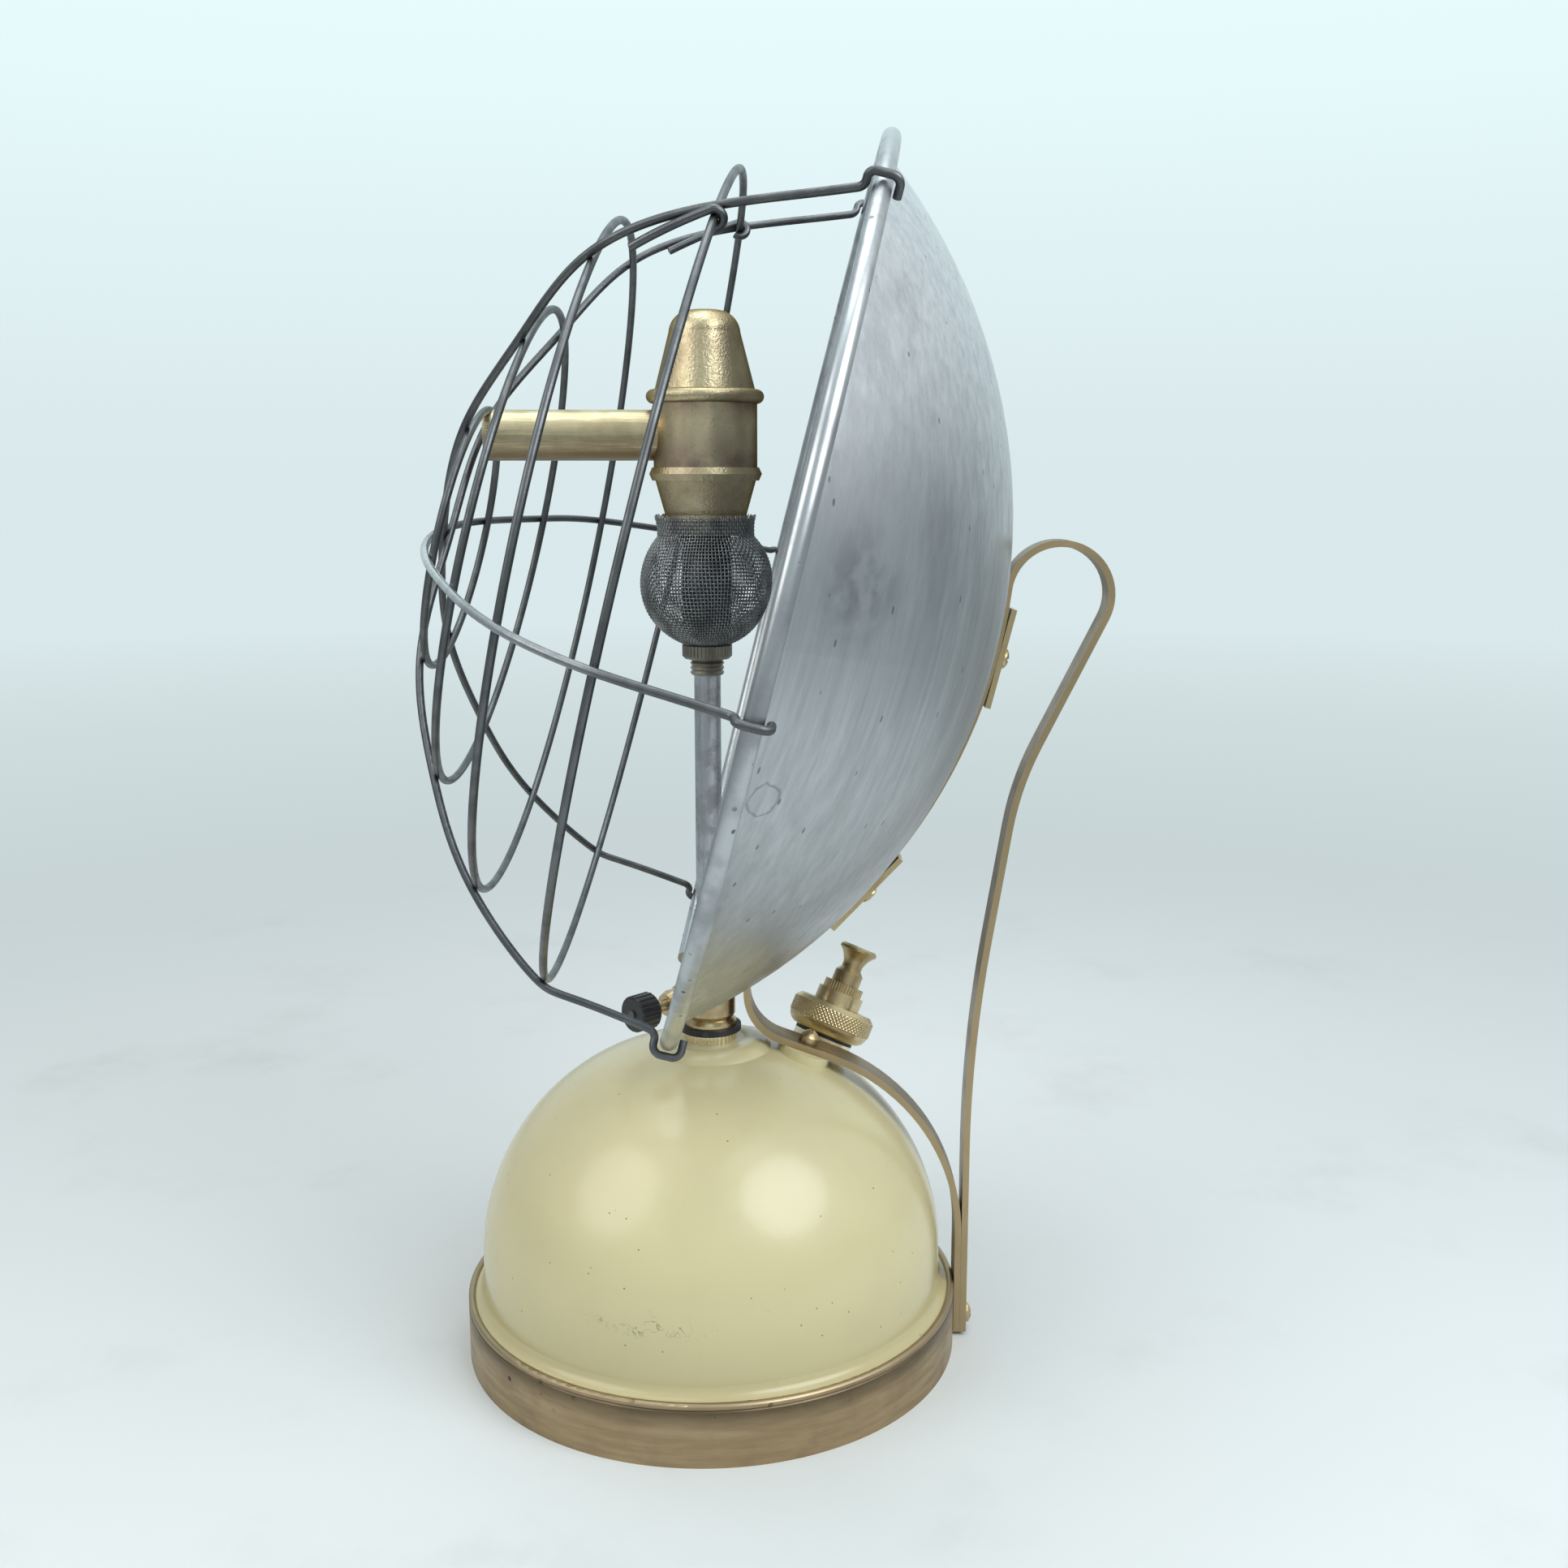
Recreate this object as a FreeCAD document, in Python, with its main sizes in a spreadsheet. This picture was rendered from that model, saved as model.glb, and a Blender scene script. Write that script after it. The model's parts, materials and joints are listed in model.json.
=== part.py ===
# Pressure paraffin heater: tank, control cock, vaporiser, burner, reflector, stand, pump and guard.
# Millimetres, +Z up, origin under the middle of the base ring, front towards -Y.
import FreeCAD, Part
import math
import os
import Sketcher

Vector = FreeCAD.Vector

SIZES = {
    # base ring and tank
    "base_radius": 92.0,
    "base_height": 23.0,
    "base_wall": 1.2,
    "lip_width": 2.6,
    "lip_arc": 1.45,
    "bead_groove_depth": 0.4,
    "bead_groove_width": 0.8,
    "flare_width": 4.75,
    "tank_wall": 1.0,
    "skirt_foot": 12.0,
    "flare_radius": 4.0,
    "shoulder_height": 36.8,
    "dome_rise": 79.0,
    "collar_foot_radius": 22.5,
    "collar_top_radius": 12.5,
    "collar_rise": 3.0023,
    "collar_arc": 9.0,
    "floor_rim": 6.0,
    "seat_clearance": 0.05,
    "running_clearance": 0.1,
    # neck and control cock
    "spigot_radius": 6.9,
    "spigot_length": 13.0,
    "neck_ring_radius": 9.7,
    "neck_ring_height": 3.7,
    "washer_radius": 11.4,
    "washer_height": 2.0,
    "cock_flange_height": 3.0,
    "cock_flange_radius": 9.7,
    "cock_radius": 9.3,
    "cock_height": 18.0,
    "cock_cavity_radius": 4.4,
    "socket_radius": 6.6,
    "socket_height": 7.0,
    "socket_depth": 5.0,
    "fuel_bore_radius": 2.4,
    "spindle_rise": 12.0,
    "spindle_turn": 45.0,
    "spindle_radius": 2.0,
    "gland_boss_radius": 6.0,
    "gland_boss_reach": 14.5,
    "gland_radius": 5.0,
    "gland_length": 7.5,
    "packing_radius": 3.5,
    "packing_length": 3.0,
    "crank_throw": 1.25,
    "crank_pin_radius": 0.6,
    "crank_pin_reach": 1.8,
    "knob_radius": 6.6,
    "knob_length": 9.0,
    "knob_back": 28.5,
    "knob_edge": 1.0,
    "knob_flute_radius": 0.7,
    "knob_screw_radius": 1.6,
    "knob_screw_height": 0.6,
    # pick-up tube in the tank
    "pick_up_radius": 3.0,
    "filter_radius": 4.2,
    "filter_height": 12.0,
    "filter_gap": 1.5,
    # vaporiser, jet and pricker
    "vaporiser_radius": 4.75,
    "vaporiser_bore": 3.2,
    "vaporiser_rise": 3.7,
    "jet_radius": 4.2,
    "jet_height": 8.5,
    "jet_orifice_radius": 0.45,
    "jet_tip": 1.6,
    "pricker_radius": 0.8,
    "needle_radius": 0.3,
    "yoke_width": 5.4,
    "yoke_thickness": 2.4,
    "yoke_height": 4.2,
    "yoke_slot_width": 4.1,
    "yoke_slot_height": 2.1,
    # globe of woven wire and its fittings
    "globe_radius": 23.5,
    "globe_foot_radius": 7.4135,
    "globe_wall": 0.8,
    "cuff_radius": 16.9,
    "cuff_height": 7.3709,
    "cuff_lap": 5.8,
    "globe_ring_height": 4.4,
    "sleeve_radius": 6.1,
    "sleeve_rise": 136.1,
    "sleeve_length": 13.6,
    "sleeve_flange_radius": 7.1,
    "sleeve_thread_depth": 0.6,
    "sleeve_thread_pitch": 1.7,
    "nut_radius": 8.9,
    "nut_rise": 5.8,
    "globe_nut_height": 4.8,
    # burner
    "burner_wall": 1.0,
    "cone_neck_radius": 14.3,
    "cone_neck_drop": 1.0,
    "cone_neck_height": 6.6,
    "cone_height": 11.8,
    "cone_top_radius": 17.6,
    "lower_flange_radius": 19.7,
    "lower_flange_height": 4.5,
    "body_radius": 18.1,
    "body_height": 21.7,
    "upper_flange_radius": 20.5,
    "upper_flange_height": 4.8,
    "cap_foot_radius": 17.4,
    "cap_height": 19.2,
    "cap_shoulder_radius": 12.4,
    "cap_crown": 7.3,
    "cap_top_radius": 5.6,
    "cap_round": 8.0,
    "air_tube_radius": 8.7,
    "air_tube_wall": 0.8,
    "air_tube_reach": 76.3,
    "air_tube_rise": 11.0,
    "air_tube_end": 14.2,
    # reflector
    "rim_radius": 158.4,
    "rim_lift": 3.3,
    "rim_back": 24.2,
    "rim_lean": 14.0,
    "bead_radius": 3.0,
    "mouth_step": 6.4,
    "bowl_depth": 77.8,
    "bowl_wall": 1.0,
    "rim_gap": 18.2,
    "cut_front_rise": 15.5,
    "cut_front_back": -12.3,
    "cut_slope": 25.0,
    # stand strap, pads and screws
    "strap_width": 12.0,
    "strap_thickness": 2.4,
    "strap_foot": 1.5,
    "handle_radius": 18.2,
    "handle_run": 98.0,
    "handle_drop": 68.0,
    "handle_high_reach": 15.6,
    "handle_low_radius": 520.0,
    "handle_high_radius": 110.0,
    "handle_rise": 2.8,
    "strap_leave_step": 3.8187,
    "strap_fall_back": 13.7,
    "strap_leave_radius": 4.0,
    "strap_hook_radius": 19.0,
    "strap_rest_slope": 20.0,
    "strap_rest_back": 36.0,
    "strap_rest_rise": 4.3217,
    "strap_dome_radius": 75.0,
    "upper_pad_angle": 13.9,
    "lower_pad_angle": 43.4,
    "pad_length": 36.0,
    "pad_thickness": 2.0,
    "screw_radius": 2.0,
    "screw_head_radius": 3.6,
    "screw_head_height": 2.4,
    "screw_slot_width": 0.9,
    "screw_slot_depth": 0.8,
    "screw_end": 1.0,
    "nut_width": 7.0,
    "nut_height": 2.6,
    "base_screw_height": 6.5,
    "strap_boss_radius": 10.0,
    "strap_boss_height": 9.0,
    "strap_screw_head_radius": 3.7,
    "strap_screw_head_height": 4.6,
    "strap_screw_grip": 2.3,
    # pump
    "pump_side": -27.0,
    "pump_back": 41.0,
    "pump_lean": 27.5,
    "filler_radius": 11.6,
    "filler_height": 4.6,
    "filler_depth": 3.5,
    "filler_bore": 9.6,
    "gasket_height": 1.2,
    "pump_cap_radius": 16.0,
    "pump_cap_height": 12.0,
    "pump_cap_round": 4.0,
    "pump_cap_chamfer": 1.6,
    "pump_spigot_radius": 9.2,
    "barrel_radius": 8.0,
    "barrel_wall": 0.7,
    "barrel_length": 88.0,
    "guide_radius": 9.1,
    "guide_height": 5.4,
    "guide_band_radius": 7.8,
    "guide_band_height": 3.4,
    "guide_spigot_radius": 5.0,
    "guide_spigot_length": 2.0,
    "rod_radius": 2.0,
    "pump_knob_foot_radius": 5.6,
    "pump_knob_foot_height": 4.6,
    "pump_knob_waist": 4.0,
    "pump_knob_radius": 7.4,
    "pump_knob_height": 10.8,
    "pump_knob_rim": 1.8,
    "piston_radius": 6.8,
    "piston_height": 2.6,
    "piston_rise": 6.0,
    "cup_height": 6.0,
    "cup_wall": 1.2,
    "piston_nut_height": 3.0,
    "piston_nut_radius": 3.2,
    "valve_plug_height": 4.0,
    "valve_nose_radius": 5.0,
    "valve_nose_length": 8.0,
    "valve_bore": 3.0,
    "valve_seat_hole": 1.0,
    "valve_seat_wall": 1.5,
    "valve_pip_radius": 2.6,
    "valve_pip_height": 2.4,
    "valve_end_wall": 1.0,
    "spring_wall": 0.6,
    # guard
    "guard_wire": 2.7,
    "guard_bulge": 19.4,
    "guard_behind": 57.0,
    "guard_drop": 5.0,
    "bow_a_angle": 34.5,
    "bow_b_angle": -23.3,
    "side_bow_angle": 95.5,
    "hoop_1_angle": 54.3,
    "hoop_2_angle": 41.2,
    "hoop_2_push": 3.1,
    "hoop_2_lean": 1.3,
    "hoop_3_angle": 28.6,
    "hoop_4_angle": 15.1,
    "weld_sink": 0.3,
    "crown_step": 2.3,
    "crown_flat": 4.0,
    "hook_start": 12.0,
    "hook_step": -3.5,
    "hook_clearance": 0.5,
    "hook_bend_radius": 3.2,
    "hook_tail": 6.5,
    "tie_run": 9.0,
    "tie_curl": 240.0,
}

SERRATIONS = 40
KNOB_FLUTES = 18
SLEEVE_THREADS = 3
BEND_ROOM = 0.98

doc = FreeCAD.newDocument("paraffin_heater")
sheet = doc.addObject("Spreadsheet::Sheet", "Sizes")
for row, (alias, value) in enumerate(SIZES.items(), start=1):
    sheet.set(f"A{row}", alias)
    sheet.set(f"B{row}", str(value))
    sheet.setAlias(f"B{row}", alias)
doc.recompute()


class Size:
    """A length that keeps its number and the sheet expression it comes from."""

    def __init__(self, number, text):
        self.number = number
        self.text = text

    def join(self, sign, other, number):
        text = other.text if isinstance(other, Size) else repr(float(other))
        return Size(number, f"({self.text} {sign} {text})")

    def __add__(self, other):
        return self.join("+", other, self.number + plain(other))

    def __sub__(self, other):
        return self.join("-", other, self.number - plain(other))

    def __mul__(self, other):
        return self.join("*", other, self.number * plain(other))

    def __truediv__(self, other):
        return self.join("/", other, self.number / plain(other))


class Sizes:
    """The sheet's cells as attributes: each read gives a Size."""

    def __getattr__(self, alias):
        return Size(float(sheet.get(alias)), f"Sizes.{alias}")


def plain(value):
    return value.number if isinstance(value, Size) else float(value)


def root(size):
    return Size(math.sqrt(size.number), f"sqrt({size.text})")


def bind(thing, name, size):
    """Sets a property from the sheet."""
    if isinstance(size, Size):
        thing.setExpression(name, size.text)
    else:
        setattr(thing, name, float(size))


s = Sizes()
NOTHING = s.base_wall - s.base_wall


def axis_frame(origin, direction, spin=0.0):
    """A placement whose local Z points along a direction."""
    turn = FreeCAD.Rotation(Vector(0, 0, 1), direction)
    return FreeCAD.Placement(origin, turn.multiply(FreeCAD.Rotation(Vector(0, 0, 1), spin)))


def plane_of(body, role):
    for feature in body.Origin.OriginFeatures:
        if feature.Role == role:
            return feature
    return None


def sketch_on(body, name, role):
    sketch = body.newObject("Sketcher::SketchObject", name)
    sketch.AttachmentSupport = [(plane_of(body, role), "")]
    sketch.MapMode = "FlatFace"
    return sketch


def arc_between(start, end, radius, bulge):
    """An arc from start to end. Bulge 1 swells to the right of the way along, -1 to the left."""
    chord = end - start
    half = chord.Length / 2
    height = math.sqrt(max(radius * radius - half * half, 0.0))
    right = Vector(chord.y, -chord.x, 0).normalize()
    centre = (start + end) * 0.5 - right * (bulge * height)
    first, last = (start, end) if bulge > 0 else (end, start)
    turn_from = math.atan2(first.y - centre.y, first.x - centre.x)
    turn_to = math.atan2(last.y - centre.y, last.x - centre.x)
    return Part.ArcOfCircle(Part.Circle(centre, Vector(0, 0, 1), radius), turn_from, turn_to)


def spun(label, outline, placement=None):
    """A body of revolution about Z. Each corner is (radius, height), with an arc to the next corner
    where (radius, height, arc radius, bulge) is given."""
    body = doc.addObject("PartDesign::Body", label)
    body.Label = label
    sketch = sketch_on(body, label + "_outline", "XZ_Plane")
    corners = [Vector(plain(c[0]), plain(c[1]), 0) for c in outline]
    count = len(outline)
    for index, corner in enumerate(outline):
        start = corners[index]
        end = corners[(index + 1) % count]
        if len(corner) > 2:
            arc = arc_between(start, end, plain(corner[2]), corner[3])
            sketch.addGeometry(arc, False)
        else:
            sketch.addGeometry(Part.LineSegment(start, end), False)
    ends = []
    for index in range(count):
        geometry = sketch.Geometry[index]
        forward = (geometry.StartPoint - corners[index]).Length < 1e-6
        ends.append((1, 2) if forward else (2, 1))
    for index in range(count):
        after = (index + 1) % count
        joint = Sketcher.Constraint("Coincident", index, ends[index][1], after, ends[after][0])
        sketch.addConstraint(joint)
    for index, corner in enumerate(outline):
        for kind, size in (("DistanceX", corner[0]), ("DistanceY", corner[1])):
            number = plain(size)
            here = (index, ends[index][0])
            if abs(number) < 1e-9:
                axis = -2 if kind == "DistanceX" else -1
                sketch.addConstraint(Sketcher.Constraint("PointOnObject", *here, axis))
                continue
            made = sketch.addConstraint(Sketcher.Constraint(kind, -1, 1, *here, number))
            if isinstance(size, Size):
                sketch.setExpression(f"Constraints[{made}]", size.text)
        if len(corner) > 2:
            made = sketch.addConstraint(Sketcher.Constraint("Radius", index, plain(corner[2])))
            if isinstance(corner[2], Size):
                sketch.setExpression(f"Constraints[{made}]", corner[2].text)
    turned = body.newObject("PartDesign::Revolution", label + "_turned")
    turned.Profile = sketch
    turned.ReferenceAxis = (sketch, ["V_Axis"])
    turned.Angle = 360.0
    body.Tip = turned
    if placement:
        body.Placement = placement
    return body


def serrate(body, count, radius, depth, foot, length):
    """Cuts upright round grooves all round a turned body, from foot for a length."""
    sketch = sketch_on(body, body.Label + "_groove", "XY_Plane")
    sketch.AttachmentOffset = FreeCAD.Placement(Vector(0, 0, plain(foot)), FreeCAD.Rotation())
    sketch.setExpression("AttachmentOffset.Base.z", foot.text)
    sketch.addGeometry(Part.Circle(Vector(plain(radius), 0, 0), Vector(0, 0, 1), plain(depth)), False)
    sketch.addConstraint(Sketcher.Constraint("PointOnObject", 0, 3, -1))
    reach = sketch.addConstraint(Sketcher.Constraint("DistanceX", -1, 1, 0, 3, plain(radius)))
    sketch.setExpression(f"Constraints[{reach}]", radius.text)
    size = sketch.addConstraint(Sketcher.Constraint("Radius", 0, plain(depth)))
    sketch.setExpression(f"Constraints[{size}]", depth.text)
    pocket = body.newObject("PartDesign::Pocket", body.Label + "_cut")
    pocket.Profile = sketch
    pocket.Length = plain(length)
    pocket.setExpression("Length", length.text)
    pocket.Reversed = True
    doc.recompute()
    ring = body.newObject("PartDesign::PolarPattern", body.Label + "_round")
    ring.Originals = [pocket]
    ring.Axis = (sketch, ["N_Axis"])
    ring.Angle = 360.0
    ring.Occurrences = count
    body.Tip = ring
    return body


def cylinder(label, radius, height, placement=None):
    rod = doc.addObject("Part::Cylinder", label)
    rod.Label = label
    bind(rod, "Radius", radius)
    bind(rod, "Height", height)
    if placement:
        rod.Placement = placement
    return rod


def block(label, length, width, height, placement):
    """A box centred on its placement in X and Y and standing on it in Z."""
    box = doc.addObject("Part::Box", label)
    box.Label = label
    bind(box, "Length", length)
    bind(box, "Width", width)
    bind(box, "Height", height)
    shift = FreeCAD.Placement(Vector(-plain(length) / 2, -plain(width) / 2, 0), FreeCAD.Rotation())
    box.Placement = placement.multiply(shift)
    return box


def fuse(label, shapes):
    joined = doc.addObject("Part::MultiFuse", label)
    joined.Label = label
    joined.Shapes = shapes
    return joined


def cut(label, base, tools):
    """Takes one tool or several out of a base."""
    made = doc.addObject("Part::Cut", label)
    made.Label = label
    made.Base = base
    made.Tool = tools[0] if len(tools) == 1 else fuse(label + "_tools", tools)
    return made


def solid(label, shape, placement=None):
    feature = doc.addObject("Part::Feature", label)
    feature.Label = label
    feature.Shape = shape
    if placement:
        feature.Placement = placement
    return feature


def check_section(swept, expected_volume):
    """A bent bar keeps its section all along, so its volume is the section times the length."""
    if abs(swept.Volume / expected_volume - 1) > 0.03:
        raise RuntimeError(f"a swept bar has {swept.Volume:.1f} mm3, not {expected_volume:.1f} mm3")


nodes = []


def keep(thing):
    """Adds a finished sub-part to those that are written."""
    nodes.append(thing)
    return thing


def at(x, y, z):
    return FreeCAD.Placement(Vector(x, y, z), FreeCAD.Rotation())


# Base ring: a brass hoop whose upper edge is rolled inwards over the dome's flare.
# A fine groove runs below the roll.
ring_inner = s.base_radius - s.base_wall
lip_foot = s.base_height - s.lip_arc + root(s.lip_arc * s.lip_arc - s.lip_width * s.lip_width / 4)
groove_z = lip_foot - s.base_wall - s.bead_groove_width
base_screw_hole = cylinder("base_screw_hole", s.screw_radius + s.running_clearance, s.base_wall * 8,
                           axis_frame(Vector(0, s.base_radius.number - 4 * s.base_wall.number,
                                             s.base_screw_height.number), Vector(0, 1, 0)))
ring = spun("base_ring_turned", [
    (ring_inner, NOTHING),
    (s.base_radius, NOTHING),
    (s.base_radius, groove_z),
    (s.base_radius - s.bead_groove_depth, groove_z + s.bead_groove_width / 2),
    (s.base_radius, groove_z + s.bead_groove_width),
    (s.base_radius, lip_foot, s.lip_arc, 1),
    (s.base_radius - s.lip_width, lip_foot),
    (ring_inner, lip_foot),
])
base_ring = keep(cut("base_ring", ring, [base_screw_hole]))

# Tank: a drawn dome with a skirt inside the base ring and a raised collar at its neck.
skirt = ring_inner - s.seat_clearance
tank_radius = skirt - s.flare_width
dome_arc = (tank_radius * tank_radius + s.dome_rise * s.dome_rise) / (tank_radius * 2)
dome_middle = tank_radius - dome_arc


def dome_height(radius, inset):
    """Height of the dome's arc at a radius, for a surface that lies inset inside the outer one."""
    arc = dome_arc - inset
    away = radius - dome_middle
    return s.shoulder_height + root(arc * arc - away * away)


collar_top = dome_height(s.collar_foot_radius, NOTHING) + s.collar_rise
flare_foot = lip_foot - s.seat_clearance
flare_top = flare_foot + s.flare_radius
tank_inner = tank_radius - s.tank_wall
neck_bore = s.spigot_radius + s.running_clearance
flare_arc = (s.flare_width * s.flare_width + s.flare_radius * s.flare_radius) / (s.flare_width * 2)
under_arc = flare_arc + s.tank_wall
under_away = tank_radius + flare_arc - (skirt - s.tank_wall)
dome = spun("tank_dome_turned", [
    (skirt, s.skirt_foot),
    (skirt, flare_foot, flare_arc, -1),
    (tank_radius, flare_top),
    (tank_radius, s.shoulder_height, dome_arc, 1),
    (s.collar_foot_radius, dome_height(s.collar_foot_radius, NOTHING), s.collar_arc, 1),
    (s.collar_top_radius, collar_top),
    (neck_bore, collar_top),
    (neck_bore, dome_height(neck_bore, s.tank_wall), dome_arc - s.tank_wall, -1),
    (tank_inner, s.shoulder_height),
    (tank_inner, flare_top, under_arc, 1),
    (skirt - s.tank_wall, flare_top - root(under_arc * under_arc - under_away * under_away)),
    (skirt - s.tank_wall, s.skirt_foot),
])
dome_form = spun("dome_form", [
    (NOTHING, s.skirt_foot),
    (tank_radius, s.skirt_foot),
    (tank_radius, s.shoulder_height, dome_arc, 1),
    (s.collar_foot_radius, dome_height(s.collar_foot_radius, NOTHING)),
    (NOTHING, collar_top),
])
pump_distance = math.hypot(s.pump_side.number, s.pump_back.number)
pump_foot = Vector(s.pump_side.number, s.pump_back.number,
                   dome_height(Size(pump_distance, "0"), NOTHING).number)
pump_lean = math.radians(s.pump_lean.number)
pump_axis = Vector(math.sin(pump_lean) * s.pump_side.number / pump_distance,
                   math.sin(pump_lean) * s.pump_back.number / pump_distance,
                   math.cos(pump_lean))
pump_frame = axis_frame(pump_foot, pump_axis)
filler_drop = pump_frame.multiply(at(0, 0, -(s.filler_depth.number + s.filler_bore.number)))
filler_hole = cylinder("filler_hole", s.filler_radius + s.seat_clearance,
                       s.filler_depth * 2 + s.filler_bore * 2, filler_drop)
tank_dome = keep(cut("tank_dome", dome, [filler_hole]))
floor_edge = skirt - s.tank_wall - s.seat_clearance
tank_floor = keep(spun("tank_floor", [
    (NOTHING, s.skirt_foot),
    (floor_edge, s.skirt_foot),
    (floor_edge, s.skirt_foot + s.floor_rim),
    (floor_edge - s.tank_wall, s.skirt_foot + s.floor_rim),
    (floor_edge - s.tank_wall, s.skirt_foot + s.tank_wall),
    (NOTHING, s.skirt_foot + s.tank_wall),
]))

# Stack of the globe and burner, each on the one below and all on the tank's collar.
sleeve_foot = collar_top + s.sleeve_rise
nut_foot = sleeve_foot + s.nut_rise
nut_top = nut_foot + s.globe_nut_height
sleeve_top = sleeve_foot + s.sleeve_length
globe_height = nut_top + root(s.globe_radius * s.globe_radius - s.globe_foot_radius * s.globe_foot_radius)
neck_height = globe_height + root(s.globe_radius * s.globe_radius - s.cuff_radius * s.cuff_radius)
cuff_top = neck_height + s.cuff_height
cuff_foot = cuff_top - s.cuff_lap
cone_neck_foot = cuff_foot - s.cone_neck_drop
cone_foot = cone_neck_foot + s.cone_neck_height
cone_top = cone_foot + s.cone_height
body_foot = cone_top + s.lower_flange_height
body_top = body_foot + s.body_height
cap_foot = body_top + s.upper_flange_height
cap_shoulder = cap_foot + s.cap_height
cap_top = cap_shoulder + s.cap_crown
air_tube_height = body_foot + s.air_tube_rise
vaporiser_top = body_foot + s.vaporiser_rise

# Neck ring, washer and the control cock with its cavity, spindle bore and vaporiser socket.
ring_foot = collar_top
washer_foot = ring_foot + s.neck_ring_height
cock_foot = washer_foot + s.washer_height
neck_ring = spun("neck_ring", [
    (neck_bore, ring_foot),
    (s.neck_ring_radius, ring_foot),
    (s.neck_ring_radius, washer_foot),
    (neck_bore, washer_foot),
])
keep(serrate(neck_ring, SERRATIONS, s.neck_ring_radius, s.bead_groove_depth, ring_foot, s.neck_ring_height))
keep(spun("cock_washer", [
    (neck_bore, washer_foot),
    (s.washer_radius, washer_foot),
    (s.washer_radius, cock_foot),
    (neck_bore, cock_foot),
]))
flange_top = cock_foot + s.cock_flange_height
cock_top = cock_foot + s.cock_height
socket_top = cock_top + s.socket_height
socket_foot = socket_top - s.socket_depth
spindle_height = cock_foot + s.spindle_rise
spigot_foot = cock_foot - s.spigot_length - s.washer_height
waist = s.cock_radius - s.cock_flange_height / 3
cock_turned = spun("control_cock_turned", [
    (s.fuel_bore_radius, spigot_foot),
    (s.spigot_radius, spigot_foot),
    (s.spigot_radius, cock_foot),
    (s.cock_flange_radius, cock_foot),
    (s.cock_flange_radius, cock_foot + s.cock_flange_height / 2),
    (waist, flange_top),
    (s.cock_radius, flange_top + s.cock_flange_height / 2),
    (s.cock_radius, cock_top - s.cock_flange_height / 2),
    (s.socket_radius, cock_top),
    (s.socket_radius, socket_top),
    (s.fuel_bore_radius, socket_top),
])
turn = math.radians(s.spindle_turn.number)
spindle_axis = Vector(math.sin(turn), -math.cos(turn), 0)
spindle_frame = axis_frame(Vector(0, 0, spindle_height.number), spindle_axis)


def along_spindle(distance):
    return spindle_frame.multiply(at(0, 0, plain(distance)))


cock_boss = cylinder("cock_boss", s.gland_boss_radius, s.gland_boss_reach, along_spindle(0))
cock_body = fuse("cock_body", [cock_turned, cock_boss])
cavity = cylinder("cock_cavity", s.cock_cavity_radius, socket_foot - flange_top,
                  at(0, 0, flange_top.number))
socket = cylinder("vaporiser_socket", s.vaporiser_radius + s.seat_clearance, s.socket_depth,
                  at(0, 0, socket_foot.number))
fuel_bore = cylinder("fuel_bore", s.fuel_bore_radius, s.spigot_length + s.cock_height,
                     at(0, 0, spigot_foot.number))
spindle_bore = cylinder("spindle_bore", s.spindle_radius + s.running_clearance, s.gland_boss_reach,
                        along_spindle(0))
packing_foot = s.gland_boss_reach - s.packing_length
packing_bore = cylinder("packing_bore", s.packing_radius + s.seat_clearance, s.packing_length,
                        along_spindle(packing_foot))
keep(cut("control_cock", cock_body, [cavity, socket, fuel_bore, spindle_bore, packing_bore]))
spindle_hole = s.spindle_radius + s.running_clearance
keep(spun("gland_packing", [
    (spindle_hole, packing_foot),
    (s.packing_radius, packing_foot),
    (s.packing_radius, s.gland_boss_reach),
    (spindle_hole, s.gland_boss_reach),
], spindle_frame))
gland_end = s.gland_boss_reach + s.gland_length
keep(spun("gland_nut", [
    (spindle_hole, s.gland_boss_reach),
    (s.gland_radius, s.gland_boss_reach),
    (s.gland_radius, gland_end - s.gland_length / 3),
    (s.gland_radius - s.knob_edge, gland_end),
    (spindle_hole, gland_end),
], spindle_frame))

# Spindle with its crank pin, and the fluted knob with its screw.
spindle_start = s.cock_cavity_radius - s.running_clearance * 4
knob_face = s.knob_back + s.knob_length
spindle_end = knob_face - s.knob_length / 3
spindle_rod = cylinder("spindle_rod", s.spindle_radius, spindle_end - spindle_start,
                       along_spindle(spindle_start))
pin_length = spindle_start + s.crank_pin_reach + s.crank_throw
crank_down = spindle_frame.inverse().Rotation.multVec(Vector(0, 0, -s.crank_throw.number))
crank_place = along_spindle(s.crank_pin_reach * -1).multiply(at(crank_down.x, crank_down.y, 0))
crank_pin = cylinder("crank_pin", s.crank_pin_radius, pin_length, crank_place)
keep(fuse("control_spindle", [spindle_rod, crank_pin]))
knob = spun("control_knob", [
    (s.spindle_radius, s.knob_back),
    (s.knob_radius - s.knob_edge, s.knob_back),
    (s.knob_radius, s.knob_back + s.knob_edge),
    (s.knob_radius, knob_face - s.knob_edge, s.knob_edge, 1),
    (s.knob_radius - s.knob_edge, knob_face),
    (NOTHING, knob_face),
    (NOTHING, spindle_end),
    (s.spindle_radius, spindle_end),
], spindle_frame)
keep(serrate(knob, KNOB_FLUTES, s.knob_radius + s.knob_flute_radius / 3, s.knob_flute_radius,
             s.knob_back, s.knob_length))
keep(cylinder("knob_screw", s.knob_screw_radius, s.knob_screw_height, along_spindle(knob_face)))

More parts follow.
